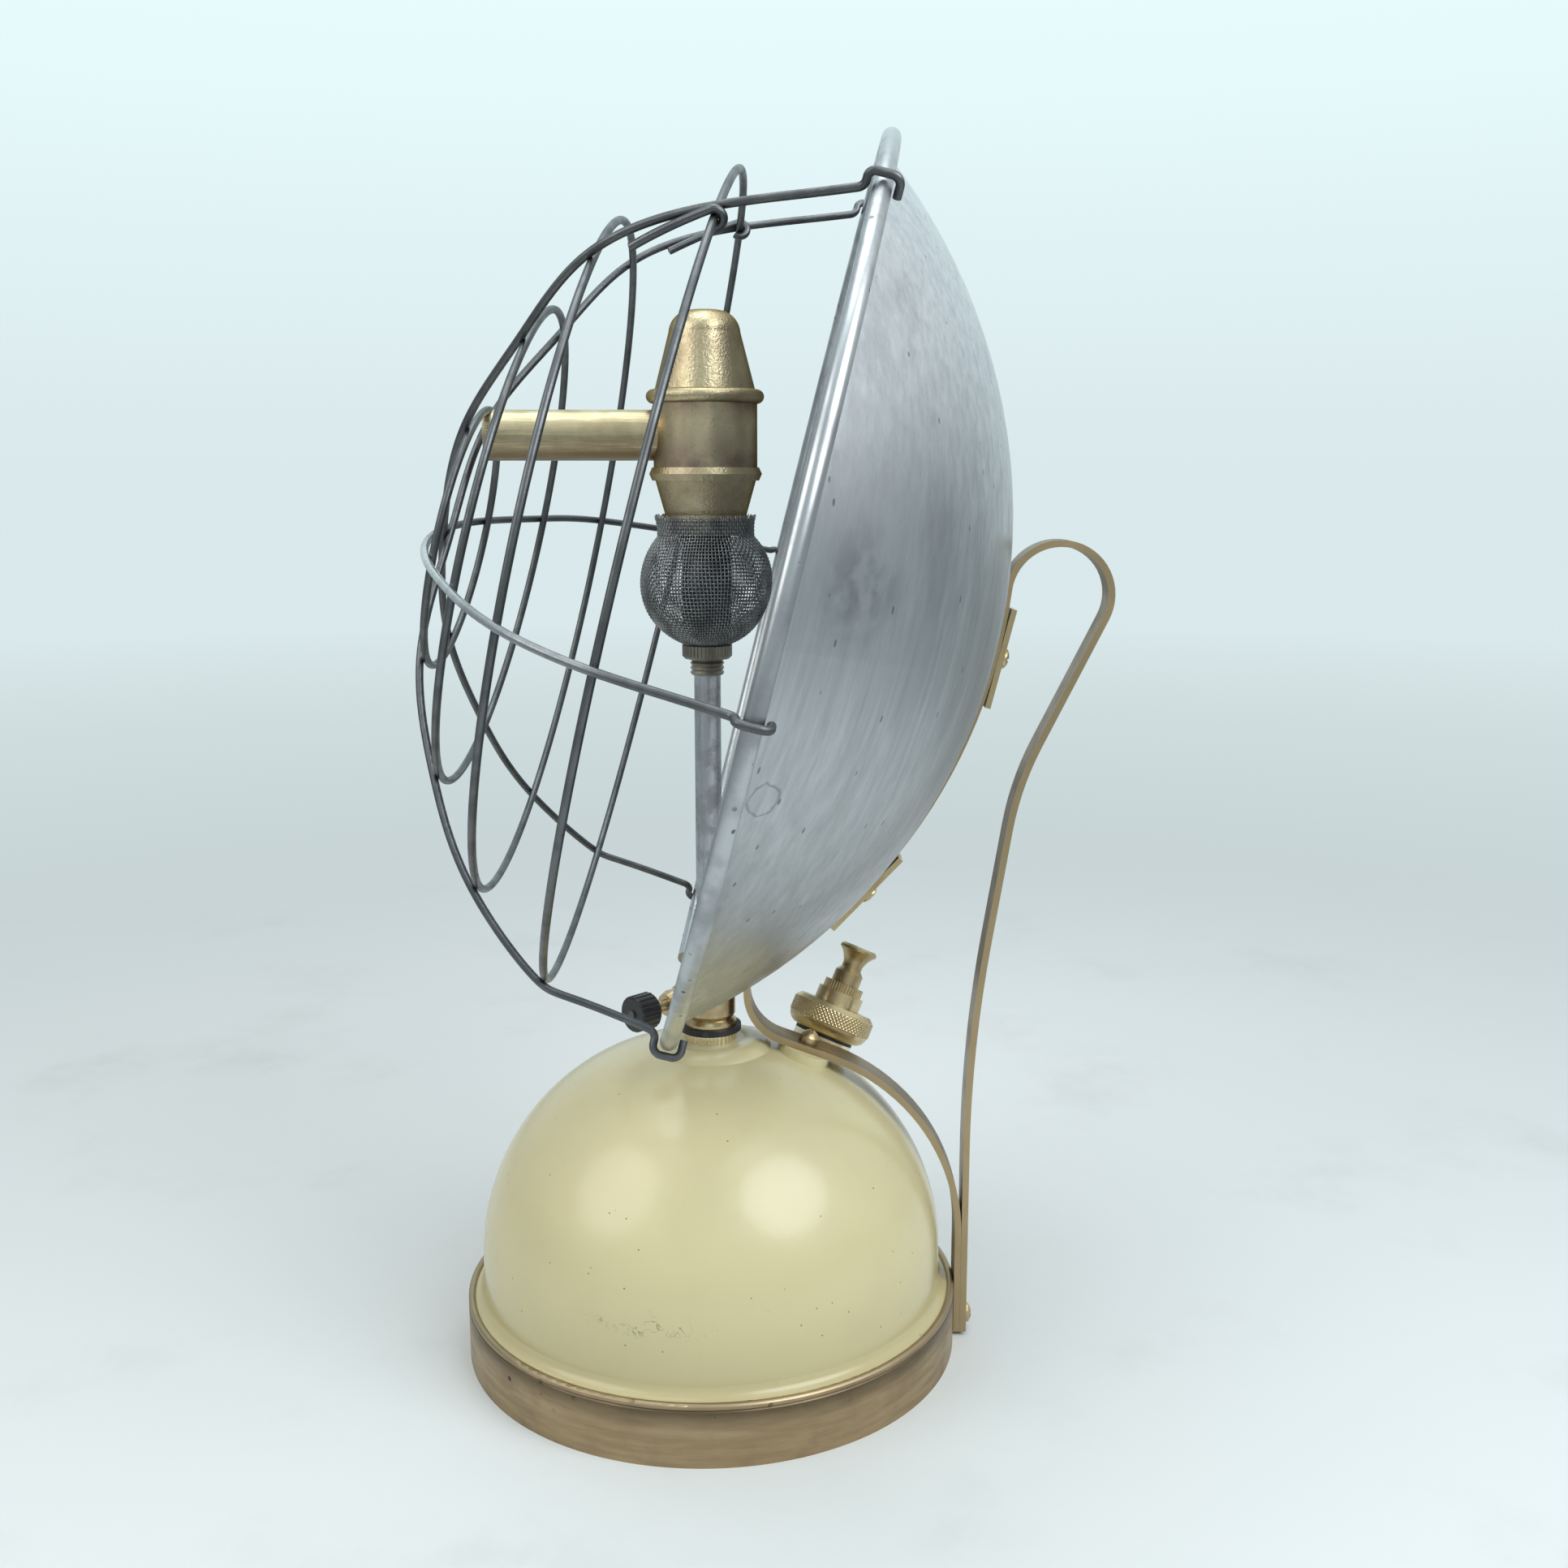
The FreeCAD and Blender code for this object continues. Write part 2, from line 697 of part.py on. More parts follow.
# Pick-up tube from the cock's spigot to a gauze filter above the tank's floor.
filter_foot = s.skirt_foot + s.tank_wall + s.filter_gap
filter_top = filter_foot + s.filter_height
pick_up_bore = s.pick_up_radius / 2
tube_foot = filter_foot + s.filter_height / 2
keep(spun("pick_up_tube", [
    (pick_up_bore, tube_foot),
    (s.pick_up_radius, tube_foot),
    (s.pick_up_radius, spigot_foot),
    (pick_up_bore, spigot_foot),
]))
filter_bore = s.pick_up_radius + s.seat_clearance
keep(spun("pick_up_filter", [
    (NOTHING, filter_foot),
    (s.filter_radius, filter_foot),
    (s.filter_radius, filter_top),
    (filter_bore, filter_top),
    (filter_bore, tube_foot - s.tank_wall),
    (NOTHING, tube_foot - s.tank_wall),
]))

# Vaporiser tube with the jet nipple screwed into its top.
keep(spun("vaporiser_tube", [
    (s.vaporiser_bore, socket_foot),
    (s.vaporiser_radius, socket_foot),
    (s.vaporiser_radius, vaporiser_top),
    (s.vaporiser_bore, vaporiser_top),
]))
jet_top = vaporiser_top + s.jet_height
jet_bore = s.vaporiser_bore - s.burner_wall
jet_spigot = s.vaporiser_bore - s.seat_clearance
jet_spigot_foot = vaporiser_top - s.jet_height / 2
jet_seat = jet_top - s.jet_tip
keep(spun("jet_nipple", [
    (jet_bore, jet_spigot_foot),
    (jet_spigot, jet_spigot_foot),
    (jet_spigot, vaporiser_top),
    (s.jet_radius, vaporiser_top),
    (s.jet_radius, jet_top - s.jet_height / 2),
    (jet_bore, jet_top),
    (s.jet_orifice_radius, jet_top),
    (s.jet_orifice_radius, jet_seat),
    (jet_bore, jet_seat - s.jet_tip / 2),
]))

# Pricker: a slotted yoke on the crank pin, a long rod and the needle that clears the jet.
yoke_middle = spindle_height - s.crank_throw
yoke_top = yoke_middle + s.yoke_height / 2
yoke_turn = FreeCAD.Rotation(Vector(0, 0, 1), math.degrees(math.atan2(spindle_axis.y, spindle_axis.x)))


def yoke_place(height):
    return FreeCAD.Placement(Vector(0, 0, plain(height)), yoke_turn)


yoke = block("pricker_yoke", s.yoke_thickness, s.yoke_width, s.yoke_height,
             yoke_place(yoke_middle - s.yoke_height / 2))
yoke_slot = block("pricker_slot", s.yoke_thickness * 2, s.yoke_slot_width, s.yoke_slot_height,
                  yoke_place(yoke_middle - s.yoke_slot_height / 2))
needle_foot = jet_seat - s.jet_tip * 2
rod = cylinder("pricker_shaft", s.pricker_radius, needle_foot - yoke_top + s.tank_wall / 2,
               at(0, 0, yoke_top.number - s.tank_wall.number / 2))
needle = cylinder("pricker_needle", s.needle_radius, s.jet_tip * 2, at(0, 0, needle_foot.number))
keep(fuse("pricker_rod", [cut("pricker_foot", yoke, [yoke_slot]), rod, needle]))

# Globe: a threaded sleeve and knurled nut pinch the foot of the woven wire ball round the vaporiser.
sleeve_bore = s.vaporiser_radius + s.seat_clearance
thread_root = s.sleeve_radius - s.sleeve_thread_depth
sleeve_outline = [(sleeve_bore, sleeve_foot)]
for turn_index in range(SLEEVE_THREADS):
    thread_foot = sleeve_foot + s.sleeve_thread_pitch * turn_index
    sleeve_outline.append((thread_root, thread_foot))
    sleeve_outline.append((s.sleeve_radius, thread_foot + s.sleeve_thread_pitch / 2))
globe_seat = nut_top + s.globe_wall
sleeve_outline += [
    (thread_root, sleeve_foot + s.sleeve_thread_pitch * SLEEVE_THREADS),
    (s.sleeve_radius, sleeve_foot + s.sleeve_thread_pitch * (SLEEVE_THREADS + 0.5)),
    (s.sleeve_radius, globe_seat),
    (s.sleeve_flange_radius, globe_seat),
    (s.sleeve_flange_radius, sleeve_top),
    (sleeve_bore, sleeve_top),
]
keep(spun("globe_sleeve", sleeve_outline))
nut_bore = s.sleeve_radius + s.seat_clearance
nut = spun("globe_nut", [
    (nut_bore, nut_foot),
    (s.nut_radius - s.burner_wall, nut_foot),
    (s.nut_radius, nut_foot + s.burner_wall),
    (s.nut_radius, nut_top),
    (nut_bore, nut_top),
])
keep(serrate(nut, SERRATIONS, s.nut_radius, s.bead_groove_depth, nut_foot, nut_top - nut_foot))
globe_inner = s.globe_radius - s.globe_wall
cuff_inner = s.cuff_radius - s.globe_wall


def globe_rise(radius, across):
    """Half height of a sphere at a distance from its axis."""
    return root(radius * radius - across * across)


foot_inner = globe_rise(globe_inner, globe_height - globe_seat)
neck_inner = globe_height + globe_rise(globe_inner, cuff_inner)
keep(spun("wire_globe", [
    (nut_bore, nut_top),
    (s.globe_foot_radius, nut_top, s.globe_radius, 1),
    (s.cuff_radius, neck_height),
    (s.cuff_radius, cuff_top),
    (cuff_inner, cuff_top),
    (cuff_inner, neck_inner, globe_inner, -1),
    (foot_inner, globe_seat),
    (nut_bore, globe_seat),
]))
keep(spun("globe_ring", [
    (s.cone_neck_radius + s.seat_clearance, cuff_foot),
    (cuff_inner - s.seat_clearance, cuff_foot),
    (cuff_inner - s.seat_clearance, cuff_foot + s.globe_ring_height),
    (s.cone_neck_radius + s.seat_clearance, cuff_foot + s.globe_ring_height),
]))

# Burner: a spun lower cone with a rolled flange, a plain barrel, a tall cap and the soldered air tube.
cone_mid = (cone_top + body_foot) / 2
keep(spun("burner_cone", [
    (s.cone_neck_radius - s.burner_wall, cone_neck_foot),
    (s.cone_neck_radius, cone_neck_foot),
    (s.cone_neck_radius, cone_foot),
    (s.cone_top_radius, cone_top),
    (s.lower_flange_radius - s.burner_wall, cone_top),
    (s.lower_flange_radius, cone_mid),
    (s.lower_flange_radius - s.burner_wall, body_foot),
    (s.body_radius - s.burner_wall, body_foot),
    (s.cone_top_radius - s.burner_wall, cone_top),
    (s.cone_neck_radius - s.burner_wall, cone_foot),
]))
barrel = spun("burner_barrel", [
    (s.body_radius - s.burner_wall, body_foot),
    (s.body_radius, body_foot),
    (s.body_radius, body_top),
    (s.body_radius - s.burner_wall, body_top),
])
air_axis = axis_frame(Vector(0, -s.air_tube_end.number, air_tube_height.number), Vector(0, -1, 0))
air_hole = cylinder("air_hole", s.air_tube_radius + s.seat_clearance, s.body_radius, air_axis)
keep(cut("burner_body", barrel, [air_hole]))
flange_mid = (body_top + cap_foot) / 2
flange_round = (cap_foot - body_top) / 2
cap_inner_foot = s.cap_foot_radius - s.burner_wall
keep(spun("burner_cap", [
    (s.body_radius - s.burner_wall, body_top),
    (s.upper_flange_radius - flange_round, body_top, flange_round, 1),
    (s.upper_flange_radius, flange_mid, flange_round, 1),
    (s.upper_flange_radius - flange_round, cap_foot),
    (s.cap_foot_radius, cap_foot),
    (s.cap_shoulder_radius, cap_shoulder, s.cap_round, 1),
    (s.cap_top_radius, cap_top),
    (NOTHING, cap_top),
    (NOTHING, cap_top - s.burner_wall),
    (s.cap_top_radius, cap_top - s.burner_wall),
    (s.cap_shoulder_radius - s.burner_wall, cap_shoulder),
    (cap_inner_foot, cap_foot),
]))
air_length = s.air_tube_reach - s.air_tube_end
air_bore = cylinder("air_bore", s.air_tube_radius - s.air_tube_wall, air_length, air_axis)
keep(cut("air_tube", cylinder("air_tube_outer", s.air_tube_radius, air_length, air_axis), [air_bore]))

# Reflector: a spun bowl with a rolled rim, cut flat across its foot to clear the tank and cock.
lean = math.radians(s.rim_lean.number)
facing = Vector(0, -math.cos(lean), math.sin(lean))
rim_up = Vector(0, math.sin(lean), math.cos(lean))
rim_height = collar_top + s.rim_lift + s.rim_radius
rim_centre = Vector(0, s.rim_back.number, rim_height.number)
mouth_radius = s.rim_radius - s.mouth_step
bowl_inner = (mouth_radius * mouth_radius + s.bowl_depth * s.bowl_depth) / (s.bowl_depth * 2)
bowl_outer = bowl_inner + s.bowl_wall
rim_level = s.bowl_depth + s.bowl_wall
edge_low = rim_level - s.bowl_wall / 2
edge_high = rim_level + s.bowl_wall / 2
low_reach = bowl_outer - edge_low
high_reach = bowl_outer - edge_high
bead_inner = s.rim_radius - root(s.bead_radius * s.bead_radius - s.bowl_wall * s.bowl_wall / 4)
flange_edge = bead_inner - s.seat_clearance
bowl_frame = axis_frame(rim_centre - facing * rim_level.number, facing)
bowl_spun = spun("reflector_spun", [
    (NOTHING, NOTHING, bowl_outer, 1),
    (root(bowl_outer * bowl_outer - low_reach * low_reach), edge_low),
    (flange_edge, edge_low),
    (flange_edge, edge_high),
    (root(bowl_inner * bowl_inner - high_reach * high_reach), edge_high, bowl_inner, -1),
    (NOTHING, s.bowl_wall),
], bowl_frame)
slope = FreeCAD.Rotation(Vector(1, 0, 0), s.cut_slope.number)
cut_front_height = collar_top + s.cut_front_rise
cut_place = FreeCAD.Placement(Vector(0, s.cut_front_back.number, cut_front_height.number), slope)
cut_depth = s.rim_radius
foot_cut = block("bowl_foot_cut", s.rim_radius * 2, s.rim_radius, cut_depth,
                 cut_place.multiply(at(0, 0, -cut_depth.number)))
rim = doc.addObject("Part::Torus", "reflector_rim")
rim.Label = "reflector_rim"
bind(rim, "Radius1", s.rim_radius)
bind(rim, "Radius2", s.bead_radius)
rim.setExpression("Angle3", "360 deg - Sizes.rim_gap * 2 deg")
rim.Placement = axis_frame(rim_centre, facing, s.rim_gap.number - 90.0)
keep(rim)
bowl_middle = rim_centre + facing * (bowl_inner.number - s.bowl_depth.number)


def on_bowl(angle, distance):
    """A frame on the back of the bowl in the middle plane: local Z points out of the bowl."""
    fall = math.radians(plain(angle))
    out = Vector(0, math.cos(fall), -math.sin(fall))
    return axis_frame(bowl_middle + out * plain(distance), out)


strap_inner = bowl_outer + s.seat_clearance
strap_outer = strap_inner + s.strap_thickness
pad_outer = strap_outer + s.pad_thickness
hole_radius = s.screw_radius + s.running_clearance
hole_length = s.bowl_wall * 4 + s.strap_thickness * 2 + s.pad_thickness * 2
hole_start = bowl_inner - s.bowl_wall * 2
pad_angles = {"upper": s.upper_pad_angle, "lower": s.lower_pad_angle}
pad_holes = {}
for place, angle in pad_angles.items():
    for owner in ("bowl", "strap", "pad"):
        pad_holes[place, owner] = cylinder(f"{place}_{owner}_hole", hole_radius, hole_length,
                                           on_bowl(angle, hole_start))
keep(cut("reflector_bowl", bowl_spun, [foot_cut, pad_holes["upper", "bowl"], pad_holes["lower", "bowl"]]))


def bent(points, radii):
    """Straight runs joined by tangent arcs at the inner points, eased together where a run is short."""
    runs = [after - before for before, after in zip(points, points[1:])]
    halves = [come.getAngle(go) / 2 for come, go in zip(runs, runs[1:])]
    backs = [radius * math.tan(half) for radius, half in zip(radii, halves)]
    needs = [first + second for first, second in zip([0.0] + backs, backs + [0.0])]
    ease = [min(1.0, BEND_ROOM * run.Length / need) for run, need in zip(runs, needs)]
    edges = []
    here = points[0]
    for index, half in enumerate(halves):
        corner = points[index + 1]
        come = runs[index].normalize()
        go = (points[index + 2] - corner).normalize()
        back = backs[index] * min(ease[index], ease[index + 1])
        radius = back / math.tan(half)
        start = corner - come * back
        end = corner + go * back
        inward = (go - come).normalize()
        middle = corner + inward * (radius / math.cos(half) - radius)
        edges.append(Part.LineSegment(here, start).toShape())
        edges.append(Part.Arc(start, middle, end).toShape())
        here = end
    edges.append(Part.LineSegment(here, points[-1]).toShape())
    return edges


def in_plane(back, height):
    return Vector(0, back, height)


# Stand strap: one brass strip from the base ring up to the handle, round it, down the bowl and the dome.
handle_top = rim_height + s.handle_rise
handle_high_bend = handle_top - s.handle_drop
handle_low_bend = handle_high_bend - s.handle_run
half_strap = s.strap_thickness.number / 2
strap_line = strap_inner.number + half_strap
inner_run = s.base_radius.number + s.seat_clearance.number + half_strap
outer_run = inner_run + s.strap_thickness.number + s.seat_clearance.number
handle_reach = strap_line + s.handle_radius.number
crest_rise = handle_top.number - bowl_middle.z
handle_centre = in_plane(bowl_middle.y + math.sqrt(handle_reach ** 2 - crest_rise ** 2), handle_top.number)
high_bend = in_plane(outer_run + s.handle_high_reach.number, handle_high_bend.number)
to_centre = handle_centre - high_bend
touch_length = math.sqrt(to_centre.Length ** 2 - s.handle_radius.number ** 2)
spread = math.asin(s.handle_radius.number / to_centre.Length)
aim = math.atan2(to_centre.z, to_centre.y) - spread
handle_touch = high_bend + in_plane(math.cos(aim), math.sin(aim)) * touch_length
strap_edges = bent([in_plane(outer_run, s.strap_foot.number), in_plane(outer_run, handle_low_bend.number),
                    high_bend, handle_touch],
                   [s.handle_low_radius.number, s.handle_high_radius.number])
bowl_touch = bowl_middle + (handle_centre - bowl_middle).normalize() * strap_line
over = (handle_touch - handle_centre).normalize() + (bowl_touch - handle_centre).normalize()
handle_crest = handle_centre + Vector(0, over.y, over.z).normalize() * s.handle_radius.number
if handle_crest.z < handle_centre.z:
    handle_crest = handle_centre * 2 - handle_crest
strap_edges.append(Part.Arc(handle_touch, handle_crest, bowl_touch).toShape())
fall = s.strap_fall_back.number
leave = math.acos((fall + s.strap_leave_step.number - bowl_middle.y) / strap_line)
leave_out = in_plane(math.cos(leave), -math.sin(leave))
leave_point = bowl_middle + leave_out * strap_line
between = ((bowl_touch - bowl_middle).normalize() + leave_out).normalize()
strap_edges.append(Part.Arc(bowl_touch, bowl_middle + between * strap_line, leave_point).toShape())
leave_way = in_plane(-math.sin(leave), -math.cos(leave))
leave_corner = leave_point + leave_way * ((leave_point.y - fall) / math.sin(leave))
strap_rest_height = dome_height(s.strap_rest_back, NOTHING) + s.strap_rest_rise
rest_slope = math.tan(math.radians(s.strap_rest_slope.number))


def rest_height(back):
    return strap_rest_height.number - rest_slope * (back - s.strap_rest_back.number)


strap_edges += bent([leave_point, leave_corner, in_plane(fall, rest_height(fall)),
                     in_plane(inner_run, rest_height(inner_run)), in_plane(inner_run, s.strap_foot.number)],
                    [s.strap_leave_radius.number, s.strap_hook_radius.number, s.strap_dome_radius.number])
strap_path = Part.Wire(strap_edges)
half_width = s.strap_width.number / 2
foot = s.strap_foot.number
section = Part.makePolygon([Vector(x, outer_run + y, foot) for x, y in (
    (-half_width, -half_strap), (half_width, -half_strap), (half_width, half_strap),
    (-half_width, half_strap), (-half_width, -half_strap))])
strap_solid = solid("strap_strip", strap_path.makePipeShell([section], True, False))
check_section(strap_solid.Shape, strap_path.Length * s.strap_width.number * s.strap_thickness.number)

# Boss and screw that hold the strap to the tank.
rest_lean = math.radians(s.strap_rest_slope.number)
rest_normal = in_plane(math.sin(rest_lean), math.cos(rest_lean))
rest_point = in_plane(s.strap_rest_back.number, strap_rest_height.number)
rest_frame = axis_frame(rest_point - rest_normal * (half_strap + s.seat_clearance.number), rest_normal)
strap_screw_hole = {}
for owner in ("strap", "boss"):
    strap_screw_hole[owner] = cylinder(f"{owner}_rest_hole", hole_radius,
                                       s.strap_screw_grip + s.strap_thickness * 3,
                                       rest_frame.multiply(at(0, 0, -s.strap_screw_grip.number)))
boss = cylinder("strap_boss_disc", s.strap_boss_radius, s.strap_boss_height,
                rest_frame.multiply(at(0, 0, -s.strap_boss_height.number)))
keep(cut("strap_boss", boss, [dome_form, strap_screw_hole["boss"]]))
base_hole = cylinder("strap_base_hole", hole_radius, s.strap_thickness * 6,
                     axis_frame(in_plane(s.base_radius.number - s.strap_thickness.number,
                                         s.base_screw_height.number), Vector(0, 1, 0)))
keep(cut("stand_strap", strap_solid, [pad_holes["upper", "strap"], pad_holes["lower", "strap"],
                                      strap_screw_hole["strap"], base_hole]))


def screw(label, head_radius, head_height, length, frame):
    """A round-headed slotted screw: local Z points out of its head, zero under the head."""
    head = spun(label + "_head", [
        (NOTHING, NOTHING),
        (head_radius, NOTHING),
        (head_radius, head_height / 2, head_height * 2, 1),
        (s.screw_slot_width, head_height),
        (NOTHING, head_height),
    ], frame)
    shank = cylinder(label + "_shank", s.screw_radius, length, frame.multiply(at(0, 0, -plain(length))))
    slot = block(label + "_slot", head_radius * 3, s.screw_slot_width, s.screw_slot_depth * 2,
                 frame.multiply(at(0, 0, plain(head_height - s.screw_slot_depth))))
    return cut(label, fuse(label + "_whole", [head, shank]), [slot])


def square_nut(label, frame):
    """A square nut standing on its frame, bored for the screw."""
    body = block(label + "_block", s.nut_width, s.nut_width, s.nut_height, frame)
    bore = cylinder(label + "_bore", s.screw_radius + s.seat_clearance, s.nut_height, frame)
    return cut(label, body, [bore])


keep(screw("strap_screw", s.strap_screw_head_radius, s.strap_screw_head_height,
           s.strap_screw_grip + s.strap_thickness,
           rest_frame.multiply(at(0, 0, s.strap_thickness.number + 2 * s.seat_clearance.number))))

# Pads, their screws through strap and bowl, and the nuts inside the bowl.
pad_screw_length = s.pad_thickness + s.strap_thickness + s.bowl_wall + s.nut_height + s.screw_end
screws = []
nuts = []
for place, angle in pad_angles.items():
    pad = block(f"{place}_pad_plate", s.strap_width, s.pad_length, s.pad_thickness,
                on_bowl(angle, strap_outer + s.seat_clearance))
    keep(cut(f"{place}_pad", pad, [pad_holes[place, "pad"]]))
    screws.append(screw(f"{place}_pad_screw", s.screw_head_radius, s.screw_head_height, pad_screw_length,
                        on_bowl(angle, pad_outer + s.seat_clearance * 2)))
    nuts.append(square_nut(f"{place}_pad_nut",
                           on_bowl(angle, bowl_inner - s.nut_height - s.running_clearance)))


def group(label, members):
    """Separate like solids in one node."""
    compound = doc.addObject("Part::Compound", label)
    compound.Label = label
    compound.Links = members
    return keep(compound)


group("pad_screws", screws)
group("pad_nuts", nuts)
head_seat = outer_run + half_strap + s.seat_clearance.number
grip = s.strap_thickness * 2 + s.base_wall + s.nut_height + s.screw_end
keep(screw("base_screw", s.screw_head_radius, s.screw_head_height, grip,
           axis_frame(in_plane(head_seat, s.base_screw_height.number), Vector(0, 1, 0))))
nut_flat = math.sqrt((s.base_radius - s.base_wall).number ** 2 - (s.nut_width.number / 2) ** 2)
nut_back = nut_flat - s.nut_height.number - s.seat_clearance.number
keep(square_nut("base_nut", axis_frame(in_plane(nut_back, s.base_screw_height.number), Vector(0, 1, 0))))

# Pump: heights run up its own axis from the dome. Boss and gasket first.
boss_stub = cylinder("filler_stub", s.filler_radius, s.filler_depth + s.filler_height,
                     pump_frame.multiply(at(0, 0, -s.filler_depth.number)))
boss_bore = cylinder("filler_bore_tool", s.filler_bore, s.filler_depth + s.filler_height,
                     pump_frame.multiply(at(0, 0, -s.filler_depth.number)))
keep(cut("filler_boss", boss_stub, [boss_bore]))


def pump_level(height):
    """Lifts the pump's heights so that its lowest point is zero in its own sketch."""
    return height + s.barrel_length + s.valve_plug_height + s.valve_nose_length


pump_zero = pump_level(NOTHING)
pump_base = pump_frame.multiply(at(0, 0, -pump_zero.number))
cap_low = pump_level(s.filler_height + s.gasket_height)
cap_high = cap_low + s.pump_cap_height
keep(spun("pump_gasket", [
    (s.filler_bore, pump_level(s.filler_height)),
    (s.filler_radius, pump_level(s.filler_height)),
    (s.filler_radius, cap_low),
    (s.filler_bore, cap_low),
], pump_base))
barrel_hole = s.barrel_radius + s.seat_clearance
spigot_low = cap_low - s.filler_depth - s.filler_height
guide_hole = s.guide_spigot_radius + s.seat_clearance
cap_seat = cap_high - s.guide_spigot_length
keep(spun("pump_cap", [
    (barrel_hole, spigot_low),
    (s.pump_spigot_radius, spigot_low),
    (s.pump_spigot_radius, cap_low),
    (s.pump_cap_radius - s.pump_cap_round, cap_low, s.pump_cap_round * 1.2, 1),
    (s.pump_cap_radius, cap_low + s.pump_cap_round),
    (s.pump_cap_radius, cap_high - s.pump_cap_chamfer),
    (s.pump_cap_radius - s.pump_cap_chamfer, cap_high),
    (guide_hole, cap_high),
    (guide_hole, cap_seat),
    (barrel_hole, cap_seat),
], pump_base))
barrel_low = cap_seat - s.barrel_length
barrel_inner = s.barrel_radius - s.barrel_wall
keep(spun("pump_barrel", [
    (barrel_inner, barrel_low),
    (s.barrel_radius, barrel_low),
    (s.barrel_radius, cap_seat),
    (barrel_inner, cap_seat),
], pump_base))
guide_shoulder = cap_high + s.guide_height
guide_high = guide_shoulder + s.guide_band_height
rod_hole = s.rod_radius + s.running_clearance
guide = spun("pump_guide", [
    (rod_hole, cap_seat),
    (s.guide_spigot_radius, cap_seat),
    (s.guide_spigot_radius, cap_high),
    (s.guide_radius, cap_high),
    (s.guide_radius, guide_shoulder),
    (s.guide_band_radius, guide_shoulder),
    (s.guide_band_radius, guide_high),
    (rod_hole, guide_high),
], pump_base)
keep(serrate(guide, SERRATIONS, s.guide_band_radius, s.bead_groove_depth, guide_shoulder,
             s.guide_band_height))

# Plunger: knob, rod, piston, leather cup and nut.
knob_low = guide_high + s.running_clearance
waist_low = knob_low + s.pump_knob_foot_height
knob_high = waist_low + s.pump_knob_height
rim_low = knob_high - s.pump_knob_rim
rod_high = waist_low + s.pump_knob_height / 2
keep(spun("pump_knob", [
    (s.rod_radius, knob_low),
    (s.pump_knob_foot_radius, knob_low),
    (s.pump_knob_foot_radius, waist_low),
    (s.pump_knob_waist, waist_low + s.pump_knob_rim),
    (s.pump_knob_waist, waist_low + s.pump_knob_rim * 2, s.pump_knob_height, -1),
    (s.pump_knob_radius, rim_low),
    (s.pump_knob_radius, rim_low + s.pump_knob_rim / 2),
    (s.pump_knob_radius - s.pump_knob_rim / 2, knob_high),
    (NOTHING, knob_high),
    (NOTHING, rod_high),
    (s.rod_radius, rod_high),
], pump_base))
nut_low = barrel_low + s.piston_rise
piston_low = nut_low + s.piston_nut_height
cup_low = piston_low + s.piston_height
keep(spun("pump_rod", [
    (NOTHING, nut_low),
    (s.rod_radius, nut_low),
    (s.rod_radius, rod_high),
    (NOTHING, rod_high),
], pump_base))
rod_seat = s.rod_radius + s.seat_clearance
keep(spun("piston_nut", [
    (rod_seat, nut_low),
    (s.piston_nut_radius, nut_low),
    (s.piston_nut_radius, piston_low),
    (rod_seat, piston_low),
], pump_base))
keep(spun("pump_piston", [
    (rod_seat, piston_low),
    (s.piston_radius, piston_low),
    (s.piston_radius, cup_low),
    (rod_seat, cup_low),
], pump_base))
cup_radius = barrel_inner - s.running_clearance
keep(spun("pump_cup", [
    (rod_seat, cup_low),
    (cup_radius, cup_low),
    (cup_radius, cup_low + s.cup_height),
    (cup_radius - s.cup_wall, cup_low + s.cup_height),
    (cup_radius - s.cup_wall, cup_low + s.cup_wall),
    (rod_seat, cup_low + s.cup_wall),
], pump_base))

# Non-return valve at the barrel's foot: plug with seat and nose, pip and spring.
plug_low = barrel_low - s.valve_plug_height
nose_low = plug_low - s.valve_nose_length
seat_low = barrel_low - s.valve_seat_wall
keep(spun("valve_body", [
    (s.valve_seat_hole, nose_low),
    (s.valve_nose_radius, nose_low),
    (s.valve_nose_radius, plug_low),
    (s.barrel_radius, plug_low),
    (s.barrel_radius, barrel_low),
    (s.valve_seat_hole, barrel_low),
    (s.valve_seat_hole, seat_low),
    (s.valve_bore, seat_low),
    (s.valve_bore, nose_low + s.valve_end_wall),
    (s.valve_seat_hole, nose_low + s.valve_end_wall),
], pump_base))
pip_high = seat_low - s.seat_clearance
pip_low = pip_high - s.valve_pip_height
keep(spun("valve_pip", [
    (NOTHING, pip_low),
    (s.valve_pip_radius, pip_low),
    (s.valve_pip_radius, pip_high - s.valve_pip_height / 3),
    (s.valve_seat_hole, pip_high),
    (NOTHING, pip_high),
], pump_base))
spring_outer = s.valve_pip_radius
keep(spun("valve_spring", [
    (spring_outer - s.spring_wall, nose_low + s.valve_end_wall),
    (spring_outer, nose_low + s.valve_end_wall),
    (spring_outer, pip_low),
    (spring_outer - s.spring_wall, pip_low),
], pump_base))

# Guard: three bows cross at the crown and hook over the rim, with four hoops welded inside them.
guard_centre = rim_centre - rim_up * s.guard_drop.number
sphere_centre = guard_centre - facing * s.guard_behind.number
wire = s.guard_wire.number / 2
guard_radius = s.rim_radius + s.guard_bulge
bow_radius = guard_radius.number


def guard_point(frame_up, reach, ahead):
    """A point of the guard: out from its axis along a spoke and ahead of its sphere's centre."""
    return sphere_centre + frame_up * reach + facing * ahead


hoop_sphere = guard_radius - s.guard_wire + s.weld_sink
hoop_normals = {}
hoop_reach = {}
for index in range(1, 5):
    lean_back = s.hoop_2_lean.number if index == 2 else 0.0
    hoop_normals[index] = FreeCAD.Rotation(Vector(1, 0, 0), lean_back).multVec(facing)
    hoop_reach[index] = hoop_sphere + s.hoop_2_push if index == 2 else hoop_sphere


